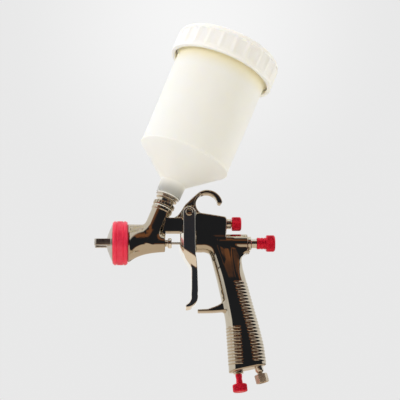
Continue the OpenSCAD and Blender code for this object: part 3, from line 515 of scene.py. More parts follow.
MATERIALS = {
    "black": body_chrome(),
    "trigger": plated("trigger_chrome", (0.84, 0.80, 0.72), (0.88, 0.84, 0.76), 0.10),
    "nickel": plated("nickel", (0.66, 0.61, 0.52), (0.72, 0.67, 0.58), 0.16),
    "cap": plated("cap_nickel", (0.54, 0.50, 0.44), (0.60, 0.56, 0.50), 0.30),
    "satin": plated("satin_nickel", (0.72, 0.63, 0.50), (0.78, 0.69, 0.56), 0.50),
    "steel": plated("steel", (0.62, 0.61, 0.58), (0.68, 0.67, 0.64), 0.22),
    "brass": plated("brass", (0.72, 0.52, 0.20), (0.78, 0.60, 0.28), 0.25),
    "red": anodised("red_anodised", (0.86, 0.030, 0.078), (0.90, 0.044, 0.100), 0.28, 0.5),
    # Painted shade: the knobs' red is a darker copy of the ring's red, for knobs that sit in shade.
    "red_painted_shade": anodised("red_anodised_painted_shade", (0.66, 0.008, 0.030), (0.74, 0.016, 0.046), 0.55, 0.25),
    "packing": matt("packing", 0.5, 150, (0.82, 0.80, 0.74), (0.88, 0.87, 0.82)),
    "rubber": matt("black_rubber", 0.6, 400, (0.015, 0.015, 0.015), (0.03, 0.03, 0.03)),
    "cup": cup_plastic(),
    "lid": moulded("lid_plastic", 0.42, 0.5, 20, (0.93, 0.915, 0.87), (0.95, 0.945, 0.92)),
}


def dress(piece, body, material, *nodes, slot=None):
    """Gives a new piece its material, its body and the CAD nodes that it stands for."""
    piece.data.materials.clear()
    piece.data.materials.append(MATERIALS[material])
    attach(piece, body)
    if nodes:
        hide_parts(*nodes)
    return piece


def finish_node(node, material):
    """A CAD node that stays gets a finished material."""
    data = frame["nodes"][node].data
    data.materials.clear()
    data.materials.append(MATERIALS[material])


# Forged body

HEAD_X, HEAD_REAR_X, HEAD_R, HEAD_REAR_R, FLARE, HEAD_TOP = -52.0, -20.9, 16.7, 7.2, 11.0, 16.8
TOP_START, TOP_FULL, HEAD_LAP, HEAD_EDGE = -21, -36, 1.5, 0.8
NOSE_X, NOSE_R, NOSE_EDGE = -61.0, 15.4, 0.5
UPPER_R, UPPER_Z, UPPER_REAR_X = 7.9, 16.4, 33.2
LOWER_R, LOWER_X, BODY_FRONT_X = 8.1, 51.5, 5.5
INLET_START, INLET_END, INLET_EDGE, INLET_FILLET = -2, 34.2, 0.5, 2.5
GRIP_Z = np.array([-111.2, -90.0, -70.0, -52.0, -32.0, -16.0, -2.0])
GRIP_FRONT = np.array([43.3, 42.3, 41.2, 38.0, 33.8, 28.6, 23.4])
GRIP_REAR = np.array([56.2, 53.8, 49.2, 44.4, 39.4, 36.6, 35.0])
GRIP_R = np.array([10.0, 10.0, 10.0, 10.0, 10.0, 8.7, 7.0])
GRIP_SPAN, GRIP_STEP, GRIP_BLUR, GRIP_TOP, FOOT_ROUND = (-125.0, 12.0), 0.5, 31, 4, 1.6
RIB_H, RIB_RISE, RIB_FADE = 0.48, 0.97 * 2.9, 1.5
FRONT_RIBS, REAR_RIBS = (-109.2, -74.5), (-106.5, -34.5)
FOOT = ((41.4, -112.8), (64.6, -107.9))


def smoothed(values):
    """A function of z through the grip's stations, without kinks."""
    z = np.arange(*GRIP_SPAN, GRIP_STEP)
    window = np.hanning(GRIP_BLUR)
    line = np.interp(z, GRIP_Z, values)
    line = np.convolve(np.pad(line, GRIP_BLUR // 2, mode="edge"), window / window.sum(), mode="valid")
    return lambda at: np.interp(at, z, line)


grip_front, grip_rear, grip_radius = smoothed(GRIP_FRONT), smoothed(GRIP_REAR), smoothed(GRIP_R)


def trumpet_radius(s):
    """The head's radius, which flares towards the nozzle."""
    return HEAD_REAR_R + (HEAD_R - HEAD_REAR_R) * np.exp(-np.maximum(s - HEAD_X, 0) / FLARE)


def smooth_step(value, start, end):
    """0 before the start, 1 after the end and smooth between."""
    t = np.clip((value - start) / (end - start), 0, 1)
    return t * t * (3 - 2 * t)


def head_body(p):
    """The head: a trumpet whose upper half is drawn up to a level top until the cup inlet."""
    x, y, z = p.T
    low = trumpet_radius(x)
    top = low + (HEAD_TOP - low) * smooth_step(x, TOP_START, TOP_FULL)
    tall = np.where(z > 0, top, low)
    oval = (np.hypot(y * tall / low, z) - tall) * low / tall
    return crossed(oval, np.maximum(HEAD_X - HEAD_LAP - x, x - HEAD_REAR_X), HEAD_EDGE)


def inlet_radius(s):
    """The cup inlet's radius, with a collar at its end."""
    return np.interp(s, [30.8, 31.4, 33.7, 34.2], [8.8, 9.5, 9.5, 9.0])


def grip(p):
    """The handle, with ribs round its front and rear edges and a slanted foot."""
    x, y, z = p.T
    front, rear, radius = grip_front(z), grip_rear(z), grip_radius(z)
    body = np.hypot(x - np.clip(x, front, rear), y) - radius
    wave = RIB_H * (0.5 + 0.5 * np.cos(2 * np.pi * z / RIB_RISE))
    for edge, low, high in ((front, *FRONT_RIBS), (rear, *REAR_RIBS)):
        belt = np.clip(np.minimum(z - low, high - z) / RIB_FADE, 0, 1)
        body = smooth_min(body, np.hypot(x - edge, y) - radius - wave * belt + 0.1, 0.2)
    (ax, az), (bx, bz) = FOOT
    length = math.hypot(bx - ax, bz - az)
    below = ((x - ax) * (bz - az) - (z - az) * (bx - ax)) / length
    return smooth_max(body, np.maximum(below, z - GRIP_TOP), FOOT_ROUND)


BARREL_EDGE, LOWER_START, LOWER_EDGE, LOWER_FILLET = 1.2, 24, 1, 0.8
BLOCK_HW, BLOCK_ROUND, BLOCK_CUT, BLOCK_FILLET, CREST_EDGE = LOWER_R + 0.1, 6.5, 1, 1.5, 1.0
CREST = [(-4, UPPER_Z), (-4, 24.6), (10, 26), (31.4, 22.6), (33, 20.8), (33, UPPER_Z), (32, 2),
         (BODY_FRONT_X, 2), (BODY_FRONT_X, 9)]
NECK_HW, NECK_TOP, NECK_LOW, NECK_DRAFT = 5.5, 22.1, 9.3, 0.15
NECK_EDGE, NECK_FILLET = 0.8, 1.5
NECK = [(-34, 4), (HEAD_REAR_X, 5), (HEAD_REAR_X + 0.6, NECK_LOW), (BODY_FRONT_X + 1, NECK_LOW),
        (BODY_FRONT_X + 1, NECK_TOP), (-27, NECK_TOP)]
HOOK_C, HOOK_IN, HOOK_BAND, HOOK_TIP, HOOK_HW = (15.8, 35.0), 9.4, 3.8, 16.0, 4.0
POCKET = [(-1.5, 33.7), (4.8, 33.3), (4.7, 37.6), (6.7, 41.4), (10.4, 44.6)]
POCKET_DEPTH, POCKET_EDGE, HOOK_EDGE, HOOK_FILLET = 0.9, 0.5, 1.2, 2
BOSS_R, BOSS_HW, BOSS_EDGE, BOSS_FILLET = 6.4, 10, 0.6, 1
SPUR_HW, SPUR_EDGE, SPUR_FILLET = 4.5, 1.1, 3
WEB_HW, WEB_EDGE, WEB_FILLET, HANDLE_FILLET = 6.5, 2, 4, 2


def hook_outline():
    """The hook and its gusset from the side: the band thickens towards the round tip."""
    inner = arc(HOOK_C, HOOK_IN, HOOK_TIP, 235, 36)
    outer = arc((HOOK_C[0] + 0.8, HOOK_C[1] - 0.4), HOOK_IN + HOOK_BAND + 0.3, 126, HOOK_TIP - 4, 24)
    (ax, az), (bx, bz) = inner[0], outer[-1]
    tip = arc(((ax + bx) / 2, (az + bz) / 2), math.hypot(bx - ax, bz - az) / 2, -15, -165, 8)
    gusset = [(-17, 21), (-16.5, 22), (-13, 22.6), (-9.7, 24.5), (-7.1, 28), (-3.1, 34.4), (3, 40.4)]
    return gusset + outer + tip + inner + [(10, 24)]


HOOK = hook_outline()
FINGER_CORNER = ([(-4, 14), (-4, -7.6)] + arc((12.5, -16), 8.4, 100, 20, 14)
                 + [(24, -24), (32, -30), (34, -16), (30, 0), (30, 14)])
HAND_WEB = [(36, -5), (38, -34), (41, -34), (43.5, -26)] + arc((54.4, -18), 9.6, 190, 95, 14) + [(50, -5)]
SPUR = ([(40, -48), (31, -52.2), (24, -56), (16, -59)] + arc((8, -60.6), 1.2, 80, 280, 8)
        + [(20, -61.6), (30, -60.8), (40, -60.4)])


BORE_EDGE, PIN_BORE, BORE_HW = 0.01, 2.52, 30
BORES = (
    (NEEDLE_AXIS, NOSE_X - 1, -55.5, 12.4), (NEEDLE_AXIS, -56.5, -44, 5), (NEEDLE_AXIS, -45, -28, 2.6),
    (NEEDLE_AXIS, -29, -19.9, 3.1), (NEEDLE_AXIS, 4.5, 17, 4.9), (NEEDLE_AXIS, 16, 21, 3.1),
    (NEEDLE_AXIS, 20, 53, 5.6), (CUP_AXIS, 20, 60, 6.3), (CUP_AXIS, 0, 21, 3.6),
    (FAN_AXIS, -38, -11, 3), (FAN_AXIS, -22.2, -11, 3.9),
    (AIR_AXIS, -12, 8, 3.9), (AIR_AXIS, 0.85, 10, 4.6), (AIR_AXIS, -22, -10, 2.6),
    (INLET_AXIS, -22.1, 0, 3.75), (INLET_AXIS, -125, -13, 2.6),
)


def bores(p):
    """What is drilled out of the body."""
    drilled = cross_rod(p, 0, PIVOT_Z, PIN_BORE, BORE_HW, BORE_EDGE)
    for axis, start, end, radius in BORES:
        drilled = np.minimum(drilled, turned(p, axis, radius, start, end, BORE_EDGE))
    return drilled


def forging(p):
    """The gun's body: head, cup inlet, neck, block, hook, pivot boss, lower barrel, handle and spur."""
    d = np.minimum(head_body(p), turned(p, NEEDLE_AXIS, NOSE_R, NOSE_X, HEAD_X, NOSE_EDGE))
    inlet = turned(p, CUP_AXIS, inlet_radius, INLET_START, INLET_END, INLET_EDGE)
    d = smooth_min(d, inlet, INLET_FILLET)
    drafted = np.abs(p[:, 1]) - NECK_HW + NECK_DRAFT * (NECK_TOP - p[:, 2])
    d = smooth_min(d, crossed(outline(NECK, p[:, 0], p[:, 2]), drafted, NECK_EDGE), NECK_FILLET)
    upper = rod(p, (BODY_FRONT_X, UPPER_Z), (UPPER_REAR_X, UPPER_Z), UPPER_R, BARREL_EDGE)
    corner = plate(p, FINGER_CORNER, BLOCK_HW, BLOCK_ROUND)
    corner = smooth_max(corner, BODY_FRONT_X - p[:, 0], BLOCK_CUT)
    upper = np.minimum(np.minimum(upper, plate(p, CREST, BLOCK_HW, CREST_EDGE)), corner)
    pocket = np.maximum(outline(POCKET, p[:, 0], p[:, 2]), HOOK_HW - POCKET_DEPTH - np.abs(p[:, 1]))
    hook = smooth_max(plate(p, HOOK, HOOK_HW, HOOK_EDGE), -pocket, POCKET_EDGE)
    upper = smooth_min(upper, hook, HOOK_FILLET)
    upper = smooth_min(upper, cross_rod(p, 0, PIVOT_Z, BOSS_R, BOSS_HW, BOSS_EDGE), BOSS_FILLET)
    d = smooth_min(d, upper, BLOCK_FILLET)
    low = rod(p, (LOWER_START, 0), (LOWER_X, 0), LOWER_R, LOWER_EDGE)
    d = smooth_min(d, low, LOWER_FILLET)
    handle = smooth_min(grip(p), plate(p, SPUR, SPUR_HW, SPUR_EDGE), SPUR_FILLET)
    handle = smooth_min(handle, plate(p, HAND_WEB, WEB_HW, WEB_EDGE), WEB_FILLET)
    d = smooth_min(d, handle, HANDLE_FILLET)
    return np.maximum(d, -bores(p))


def make_body():
    """The forged body."""
    body = skin("body_forging", forging, (-62, -18.5, -116), (69, 18.5, 51), 0.63)
    dress(body, "gun", "black", "gun_body", slot="black_chrome")


make_body()

# Trigger

ARM_IN, ARM_OUT, BLADE, ARM_END_R = 10.3, 13.0, 8.0, 5.3
PLATE_X, WELL_Z, YOKE_Z = -5.2, -17.0, 6.8
TRIGGER_SIDE = (
    arc((0, PIVOT_Z), ARM_END_R, 180, 0, 18)
    + [(5.3, 16), (5.2, 0), (5.4, -12), (6.6, -20), (7.1, -26), (7.4, -43)]
    + arc((-2.8, -48.6), 10.1, 10, -70, 12)
    + [(-1.6, -58.6)]
    + arc((-2.2, -57.2), 1.4, 270, 120, 6)
    + arc((-6.6, -49.2), 7.9, -38, 12, 8)
    + [(1.5, -42), (1.7, -28)]
    + arc((-8, -26), 9.8, 10, 38, 5)
    + [(-3.6, -15)]
    + arc((4.6, -3), 12.8, 222, 172, 10)
    + [(-8, YOKE_Z - 0.6), (-7.4, YOKE_Z), (-ARM_END_R, YOKE_Z)]
)
SHOULDER_FRONT, SHOULDER_SLOPE, SHOULDER_RUN = -3.5, 0.68, 12.5
BLADE_DROP, BLADE_TAPER = [26, 52, 60], [0, 0.4, 1.2]
WALL_Z, WALL_X = [-17, -15, -11.6, -8], [-0.3, -1.6, -2.9, PLATE_X]
PAD_R, PAD_Y, PAD_HW, STEM_SLOT = 1, 4, 2, (1.7, 2.6)
SHOULDER_X, SHOULDER_REACH, BEVEL_START, BEVEL_MOST, BEVEL_Z = 8, 14, 0.4, 4, (-20, -10)
TRIGGER_BORE, TRIGGER_EDGE, WELL_EDGE = 2.55, 0.9, 0.5


def trigger_half_width(x, z):
    """Half the trigger's width: flat arms, a bevelled bow, a slanted shoulder and the narrower blade."""
    top = SHOULDER_FRONT - SHOULDER_SLOPE * np.clip(x + SHOULDER_X, 0, SHOULDER_REACH)
    narrow = (ARM_OUT - BLADE) * smooth_step(z, top, top - SHOULDER_RUN)
    bevel = np.clip(-ARM_END_R + BEVEL_START - x, 0, BEVEL_MOST) * smooth_step(z, *BEVEL_Z)
    return ARM_OUT - narrow - bevel - np.interp(-z, BLADE_DROP, BLADE_TAPER)


def trigger_form(p):
    """A bow over the valve stem with two flat arms, and a round-edged finger blade."""
    x, y, z = p.T
    solid = crossed(outline(TRIGGER_SIDE, x, z), np.abs(y) - trigger_half_width(x, z), TRIGGER_EDGE)
    wall_x = np.interp(z, WALL_Z, WALL_X)
    inside = np.minimum(ARM_IN, trigger_half_width(x, z) - (ARM_OUT - ARM_IN))
    well = np.maximum(np.maximum(np.abs(y) - inside, wall_x - x), WELL_Z - z)
    yoke = np.maximum(np.abs(y) - ARM_IN, YOKE_Z - z)
    solid = smooth_max(solid, -np.minimum(well, yoke), WELL_EDGE)
    pads = np.maximum(np.hypot(x - PLATE_X, z) - PAD_R, np.abs(np.abs(y) - PAD_Y) - PAD_HW)
    solid = np.minimum(solid, pads)
    slot = np.maximum(np.maximum(np.abs(y) - STEM_SLOT[0], np.abs(z) - STEM_SLOT[1]), x)
    pin = cross_rod(p, 0, PIVOT_Z, TRIGGER_BORE, BORE_HW, BORE_EDGE)
    return np.maximum(solid, -np.minimum(slot, pin))


def make_trigger():
    """The trigger."""
    trigger = skin("trigger_bow", trigger_form, (-9.5, -14, -60.5), (9, 14, 32), 0.45)
    dress(trigger, "trigger", "trigger", "trigger", slot="black_chrome")


make_trigger()

# Air cap

HORN_TIP, HORN_HW, CAP_TURN, JET_LEAN = -82.4, 2.9, math.radians(8), math.radians(25)
CAP_X = [-71.4, -70.8, -69, -67.2, -65.7, -65.5, -63]
CAP_R = [5.6, 7.4, 12, 15.6, 15.6, 16.9, 16.9]
CAP_REAR, CAP_ROOM_R, CAP_ROOM_X, GAP_X = -63.2, 8.6, -66, -65.8
AUX_OFF, AUX_R, JET_R = 4.8, 0.5, 0.7
HORN = [(-64, 4.4), (-70, 4.6), (-72.5, 6.4), (HORN_TIP + 1, 9.2), (HORN_TIP, 10), (HORN_TIP, 12),
        (HORN_TIP + 1.5, 13.2), (-64, 13.8)]


def cap_radius(x):
    """The cap's radius: a cone and a flange."""
    return np.interp(x, CAP_X, CAP_R)


def cap_form(p):
    """The air cap: a cone with two horns and its jets, turned a little as it stands in use."""
    x = p[:, 0]
    y = p[:, 1] * math.cos(CAP_TURN) + p[:, 2] * math.sin(CAP_TURN)
    z = p[:, 2] * math.cos(CAP_TURN) - p[:, 1] * math.sin(CAP_TURN)
    face = turned(p, NEEDLE_AXIS, cap_radius, CAP_X[0], CAP_REAR, 0.2)
    horns = crossed(outline(HORN, x, np.abs(y)), np.abs(z) - HORN_HW, 0.5)
    horns = smooth_max(horns, np.hypot(y, z) - np.interp(x, [HORN_TIP, -80.4, -63], [12.4, 13.4, 14]), 0.6)
    cap = smooth_min(face, horns, 1.2)
    r = np.hypot(y, z)
    room = np.maximum(r - CAP_ROOM_R, CAP_ROOM_X - x)
    gap = np.maximum(r - np.interp(x, [-72, -69.5, GAP_X], [2.7, 2.7, 4.2]), x - GAP_X)
    aux = np.hypot(y, np.abs(z) - AUX_OFF) - AUX_R
    jet = np.hypot((x + 78.5) * np.cos(JET_LEAN) + (np.abs(y) - 9) * np.sin(JET_LEAN), z) - JET_R
    jet = np.maximum(jet, np.abs(np.abs(y) - 8.5) - 2.4)
    return np.maximum(cap, -np.minimum(np.minimum(room, gap), np.minimum(aux, jet)))


def make_cap():
    """The air cap."""
    cap = skin("air_cap_horned", cap_form, (-83.2, -17.5, -17.5), (-62.4, 17.5, 17.5), 0.4)
    dress(cap, "cap", "cap", "air_cap", slot="nickel")


make_cap()

# Red anodised pieces


def diamond(teeth, pitch, depth, start, end):
    """A diamond knurl between two places along the axis."""
    def ripple(angle, radius, s):
        belt = np.clip(np.minimum(s - start, end - s) / 0.4, 0, 1)
        left = np.abs(np.sin(teeth * angle / 2 + np.pi * s / pitch))
        right = np.abs(np.sin(teeth * angle / 2 - np.pi * s / pitch))
        return depth * belt * (1 - np.minimum(left, right))
    return ripple


def flutes(teeth, depth, start, end):
    """Straight grooves between two places along the axis."""
    def ripple(angle, radius, s):
        belt = np.clip(np.minimum(s - start, end - s) / 0.3, 0, 1)
        return depth * belt * np.abs(np.cos(teeth * angle / 2)) ** 3
    return ripple


def outer_only(ripple, radius):
    """Keeps a ripple to the outside of a piece."""
    return lambda angle, r, s: np.where(r > radius, ripple(angle, r, s), 0)


RING_FRONT, RING_REAR, RING_R, RING_BORE = -66.8, -53.6, 19.3, 15.9
RING_STEP_R, RING_STEP, RING_FLANGE, RING_NOSE = 17.1, -61.8, -65.7, NOSE_R + 0.25
GROOVE_R = RING_R - 0.5


def make_ring():
    """The retaining ring: a diamond knurl between two grooves."""
    profile = rounded(
        [(RING_BORE, RING_FRONT), (RING_R - 1.4, RING_FRONT), (RING_R, RING_FRONT + 1.7),
         (RING_R, RING_FRONT + 3.2), (GROOVE_R, RING_FRONT + 3.5), (GROOVE_R, RING_FRONT + 3.9),
         (RING_R, RING_FRONT + 4.2), (RING_R, RING_REAR - 4.2), (GROOVE_R, RING_REAR - 3.9),
         (GROOVE_R, RING_REAR - 3.5), (RING_R, RING_REAR - 3.2), (RING_R, RING_REAR - 1.5),
         (RING_R - 1.2, RING_REAR), (RING_NOSE, RING_REAR), (RING_NOSE, RING_STEP),
         (RING_STEP_R, RING_STEP), (RING_STEP_R, RING_FLANGE), (RING_BORE, RING_FLANGE),
         (RING_BORE, RING_FRONT)], 0.35)
    knurl = outer_only(diamond(72, 1.7, 0.3, RING_FRONT + 4.3, RING_REAR - 4.3), RING_R - 0.2)
    ring = lathe("ring_knurled", dense(profile, 0.35), NEEDLE_AXIS, 360, knurl)
    dress(ring, "ring", "red", "retaining_ring", slot="red_anodised")


make_ring()

KNOB_ROUND, KNOB_STEP, FLUTE_DEPTH, SPOKES_PER_FLUTE = 0.25, 0.4, 0.35, 6
FLUID_PROFILE = [
    (4.4, 59.7), (4.8, 59.7), (5.1, 60.1), (5.1, 62.4), (4.7, 62.6), (4.7, 63.1), (5.1, 63.3), (5.1, 65.2),
    (4.7, 65.4), (4.7, 65.9), (5.1, 66.1), (5.1, 67.9), (6.7, 67.9), (7.25, 68.5), (7.25, 74.6),
    (6.25, 75.6), (5.2, 75.6), (4.8, 75.3), (0, 75.3), (0, 73.6), (2.65, 73.6), (2.65, 66.9), (3.35, 66.5),
    (3.35, 64.2), (4.4, 64.2), (4.4, 59.7)]
FAN_PROFILE = [
    (2.55, -8.3), (5.5, -8.3), (6.1, -7.7), (6.1, -1), (5.1, 0), (4.2, 0), (3.9, -0.3), (0, -0.3),
    (0, -1.6), (2.55, -1.6), (2.55, -8.3)]
AIR_PROFILE = [
    (2.05, 3.7), (2.9, 3.7), (2.9, 5.7), (2.55, 7.7), (2.9, 11.5), (5.65, 12.3), (6.25, 13.0), (6.25, 18.3),
    (5.35, 19.1), (4.4, 19.1), (4.1, 18.8), (0, 18.8), (0, 14.6), (2.05, 14.6), (2.05, 3.7)]


def make_knob(node, axis, profile, teeth, band, inner):
    """A knob with straight flutes over a band, cut only outside an inner radius."""
    knurl = outer_only(flutes(teeth, FLUTE_DEPTH, *band), inner)
    profile = dense(rounded(profile, KNOB_ROUND), KNOB_STEP)
    knob = lathe(node + "_knurled", profile, axis, SPOKES_PER_FLUTE * teeth, knurl)
    # The knobs' darker red is painted shade.
    dress(knob, node, "red_painted_shade", node, slot="red_anodised")


make_knob("fluid_knob", NEEDLE_AXIS, FLUID_PROFILE, 40, (68.8, 74.4), 7.0)
make_knob("fan_knob", FAN_AXIS, FAN_PROFILE, 36, (-7.4, -1.1), 5.9)
make_knob("air_knob", AIR_AXIS, AIR_PROFILE, 36, (13.2, 18.2), 6.0)

# Cup and lid

CUP_R, CUP_RIM_R, WALL = 40.9, 42.0, 1.5
SHOULDER, LID_S, LID_TOP, RIM_S = 84.8, 173.4, 198.4, 193.5
THREAD_R, THREAD_ROOT, THREAD_RIDGES, THREAD_PITCH = 44.3, 42.5, 3, 4.2
NECK_BORE, NECK_S = 9.2, 46.6
LID_R, LID_BORE, LID_PANELS, LID_ROUND, PANEL_DEPTH, VENT_R = 48.5, 45.0, 24, 7, 1.1, 5.2


def make_cup():
    """The cup: neck, cone, ridged shoulder, wall with a little draft and a rim with thread ridges."""
    profile = [(NECK_BORE, NECK_S), (10.6, NECK_S), (11.1, 47.2), (11.6, 59.4)]
    ridge = [math.radians(a) for a in range(-55, 34, 11)]
    profile += [(CUP_R - 0.4 + math.cos(a), SHOULDER + math.sin(a)) for a in ridge]
    profile += [(CUP_R, SHOULDER + 2), (CUP_RIM_R, LID_S + 1), (THREAD_ROOT, LID_S + 1.5)]
    for n in range(THREAD_RIDGES):
        s = LID_S + 3 + THREAD_PITCH * n
        profile += [(THREAD_ROOT, s), (THREAD_R, s + 0.9), (THREAD_R, s + 1.5), (THREAD_ROOT, s + 2.4)]
    profile += [(THREAD_ROOT, RIM_S - 0.4), (THREAD_ROOT - 0.4, RIM_S), (CUP_RIM_R - WALL, RIM_S)]
    profile += [(CUP_R - WALL, SHOULDER + 0.5), (CUP_R - WALL - 1.2, SHOULDER - 0.9), (9.8, 61.0)]
    profile += [(NECK_BORE, 59.4), (NECK_BORE, NECK_S)]
    cup = lathe("cup_shell", dense(rounded(profile, 0.35), 6), CUP_AXIS, 160)
    dress(cup, "cup", "cup", "cup", slot="cup_plastic")


def lid_panels(angle, radius, s):
    """Wide shallow panels between narrow ribs round the lid's skirt."""
    belt = np.clip(np.minimum(s - LID_S - 3.0, LID_TOP - 5.6 - s) / 1.2, 0, 1)
    belt = belt * belt * (3 - 2 * belt)
    wave = np.abs(np.cos(LID_PANELS * angle / 2))
    return np.where(radius > LID_R - 2.5, PANEL_DEPTH * belt * np.clip(wave * 1.6, 0, 1) ** 1.5, 0)


def make_lid():
    """The screw lid: skirt, round shoulder and a low boss for the vent."""
    profile = [(LID_BORE, LID_S), (LID_R - 0.6, LID_S), (LID_R, LID_S + 0.6)]
    for a in (math.radians(degrees) for degrees in range(0, 91, 10)):
        profile.append((LID_R - LID_ROUND + LID_ROUND * math.cos(a),
                        LID_TOP - LID_ROUND + LID_ROUND * math.sin(a)))
    profile += [(9, LID_TOP + 0.6), (9, LID_TOP + 2), (VENT_R, LID_TOP + 2), (VENT_R, LID_TOP - 2.8)]
    profile += [(LID_BORE - 2.2, LID_TOP - 2.8), (LID_BORE, LID_TOP - 5), (LID_BORE, LID_S)]
    lid = lathe("lid_ribbed", dense(rounded(profile, 0.4), 1.2), CUP_AXIS, 384, lid_panels)
    dress(lid, "lid", "lid", "lid", slot="lid_plastic")


make_cup()
make_lid()

# Springs

NEEDLE_DRAW, VALVE_LIFT, SPINDLE_TRAVEL, SPRING_PLAY = 4.75, 6.25, 3.0, 0.1
WIRE_SIDES, CURL_STEPS, END_PITCH = 8, 24, 2.2


def spring(name, node, wire, turns, room):
    """A coil spring with closed ends in a node's box.

    It stops short of the box's rear end by some room.
    """
    low, high = (np.array(corner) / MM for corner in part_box(node))
    middle, radius = (low + high) / 2, (high[1] - low[1]) / 2 - wire
    length = high[0] - low[0] - room
    turn = np.linspace(0, turns, turns * CURL_STEPS + 1)
    close = END_PITCH * wire
    x = low[0] + wire + np.interp(turn, [0, 1, turns - 1, turns],
                                  [0, close, length - 2 * wire - close, length - 2 * wire])
    out = np.stack([0 * turn, np.cos(2 * np.pi * turn), np.sin(2 * np.pi * turn)], axis=1)
    path = radius * out + np.stack([x, 0 * turn + middle[1], 0 * turn + middle[2]], axis=1)
    rings = [path + wire * (math.cos(a) * out + math.sin(a) * np.array([1.0, 0, 0]))
             for a in np.linspace(0, 2 * np.pi, WIRE_SIDES, endpoint=False)]
    points = np.stack(rings, axis=1).reshape(-1, 3) * MM
    last = (len(turn) - 1) * WIRE_SIDES
    faces = [tuple(range(WIRE_SIDES)), tuple(range(last + WIRE_SIDES - 1, last - 1, -1))]
    for start in range(0, last, WIRE_SIDES):
        for side in range(WIRE_SIDES):
            a, b = start + side, start + (side + 1) % WIRE_SIDES
            faces.append((a, a + WIRE_SIDES, b + WIRE_SIDES, b))
    mesh = bpy.data.meshes.new(name)
    mesh.from_pydata(points.tolist(), [], faces)
    piece = dress(finished(linked(name, mesh)), "gun", "steel", node)
    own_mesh(piece)


spring("needle_coil", "needle_spring", 0.32, 8, SPINDLE_TRAVEL + SPRING_PLAY)
spring("valve_coil", "valve_spring", 0.42, 7, 0)

# Fittings: copies with softened edges, and CAD nodes that stay

for node, body_name, material in (
    ("packing_nut", "gun", "trigger"), ("trigger_pin", "gun", "black"),
    ("trigger_pin_screw", "gun", "black"), ("valve_bush", "gun", "nickel"),
    ("fluid_guide", "gun", "nickel"), ("fan_bush", "gun", "nickel"),
    ("air_bush", "gun", "nickel"), ("inlet_nipple", "gun", "nickel"), ("inlet_nut", "inlet_nut", "satin"),
    ("fluid_nozzle", "gun", "nickel"), ("cup_connector", "cup", "nickel"),
    ("inlet_lock_nut", "cup", "black"), ("vent_plug", "vent", "lid"),
):
    dress(softened(node), body_name, material, node)

for node, material in (
    ("air_baffle", "nickel"), ("cap_seal", "packing"), ("fluid_needle", "steel"), ("needle_collar", "brass"),
    ("needle_packing", "packing"), ("valve_packing", "packing"), ("valve_seat", "brass"),
    ("valve_stem", "steel"), ("poppet_seal", "rubber"), ("fluid_spindle", "brass"),
    ("fan_packing", "packing"), ("fan_spindle", "brass"), ("air_packing", "packing"),
    ("air_spindle", "brass"), ("inlet_washer", "packing"), ("inlet_gasket", "packing"),
    ("cup_gasket", "packing"), ("cup_strainer", "cup"), ("lid_seal", "packing"),
):
    finish_node(node, material)

# Stage: floor, world, lamps and camera

FLOOR_Z, FLOOR_HALF = -0.55, 6.0
PAPER_FRONT, PAPER_RIGHT = (-4.05, -1.05), (1.3, 0.9)
ROOM_DARK, ROOM_BROWN, PAPER_WARM = (0.022, 0.025, 0.032), (0.26, 0.11, 0.05), (0.76, 0.64, 0.51)


def joined(nodes, links, operation, a, b):
    """Two values put together by a math node."""
    node = nodes.new("ShaderNodeMath")
    node.operation = operation
    links.new(a, node.inputs[0])
    links.new(b, node.inputs[1])
    return node.outputs["Value"]


def warm_in_reflections(material):
    """For glossy rays the floor glows instead of being lit: painted light of warm paper, with a dark room
    and a brown band in front, which the plating reflects.
    """
    nodes, links = material.node_tree.nodes, material.node_tree.links
    place = nodes.new("ShaderNodeTexCoord")
    across = nodes.new("ShaderNodeSeparateXYZ")
    links.new(place.outputs["Object"], across.inputs["Vector"])
    tint = ramp(nodes, ((0.45, ROOM_DARK), (0.72, ROOM_BROWN), (0.84, ROOM_BROWN), (0.91, ROOM_DARK),
                        (1, PAPER_WARM)))
    depth = ranged(nodes, links, across.outputs["Y"], *PAPER_FRONT, 0, 1)
    width = ranged(nodes, links, across.outputs["X"], *PAPER_RIGHT, 0, 1)
    links.new(joined(nodes, links, "MULTIPLY", depth, width), tint.inputs["Fac"])
    # Painted light: the floor glows with this ramp for glossy rays.
    glow = nodes.new("ShaderNodeEmission")
    links.new(tint.outputs["Color"], glow.inputs["Color"])
    path = nodes.new("ShaderNodeLightPath")
    mix = nodes.new("ShaderNodeMixShader")
    links.new(path.outputs["Is Glossy Ray"], mix.inputs["Fac"])
    links.new(nodes["Principled BSDF"].outputs["BSDF"], mix.inputs[1])
    links.new(glow.outputs["Emission"], mix.inputs[2])
    links.new(mix.outputs["Shader"], nodes["Material Output"].inputs["Surface"])


def make_floor():
    """A wide pale floor well below the gun, which hangs in the air as it does in the hand."""
    mesh = bpy.data.meshes.new("floor")
    corners = [(x * FLOOR_HALF, y * FLOOR_HALF, FLOOR_Z) for x, y in ((-1, -1), (1, -1), (1, 1), (-1, 1))]
    mesh.from_pydata(corners, [], [(0, 1, 2, 3)])
    floor = linked("floor", mesh)
    material = surface("floor_paper", 0.8)
    coloured(material, noise(material, 3), [(0.3, (0.80, 0.80, 0.80)), (0.7, (0.84, 0.84, 0.84))])
    warm_in_reflections(material)
    mesh.materials.append(material)


ROOM_TOP, ROOM_LEFT, WINDOW_SILL = math.radians(61), math.radians(-58), 0.04
PAPER_GLOW, PAPER_TONE, SOFT_SIDE = (0.048, 0.921, 0.388), (0.93, 0.93, 0.92, 1), 0.14
CLUTTER_SCALE, CLUTTER_DETAIL, BAND_WAVE = 4.0, 2.0, 0.12


def side_of(nodes, links, place, normal, start=0.0):
    """1 on the side of a plane that its normal points to, 0 on the other, with a soft edge."""
    toward = nodes.new("ShaderNodeVectorMath")
    toward.operation = "DOT_PRODUCT"
    toward.inputs[1].default_value = normal
    links.new(place.outputs["Generated"], toward.inputs[0])
    return ranged(nodes, links, toward.outputs["Value"], start, start + SOFT_SIDE, 0, 1)


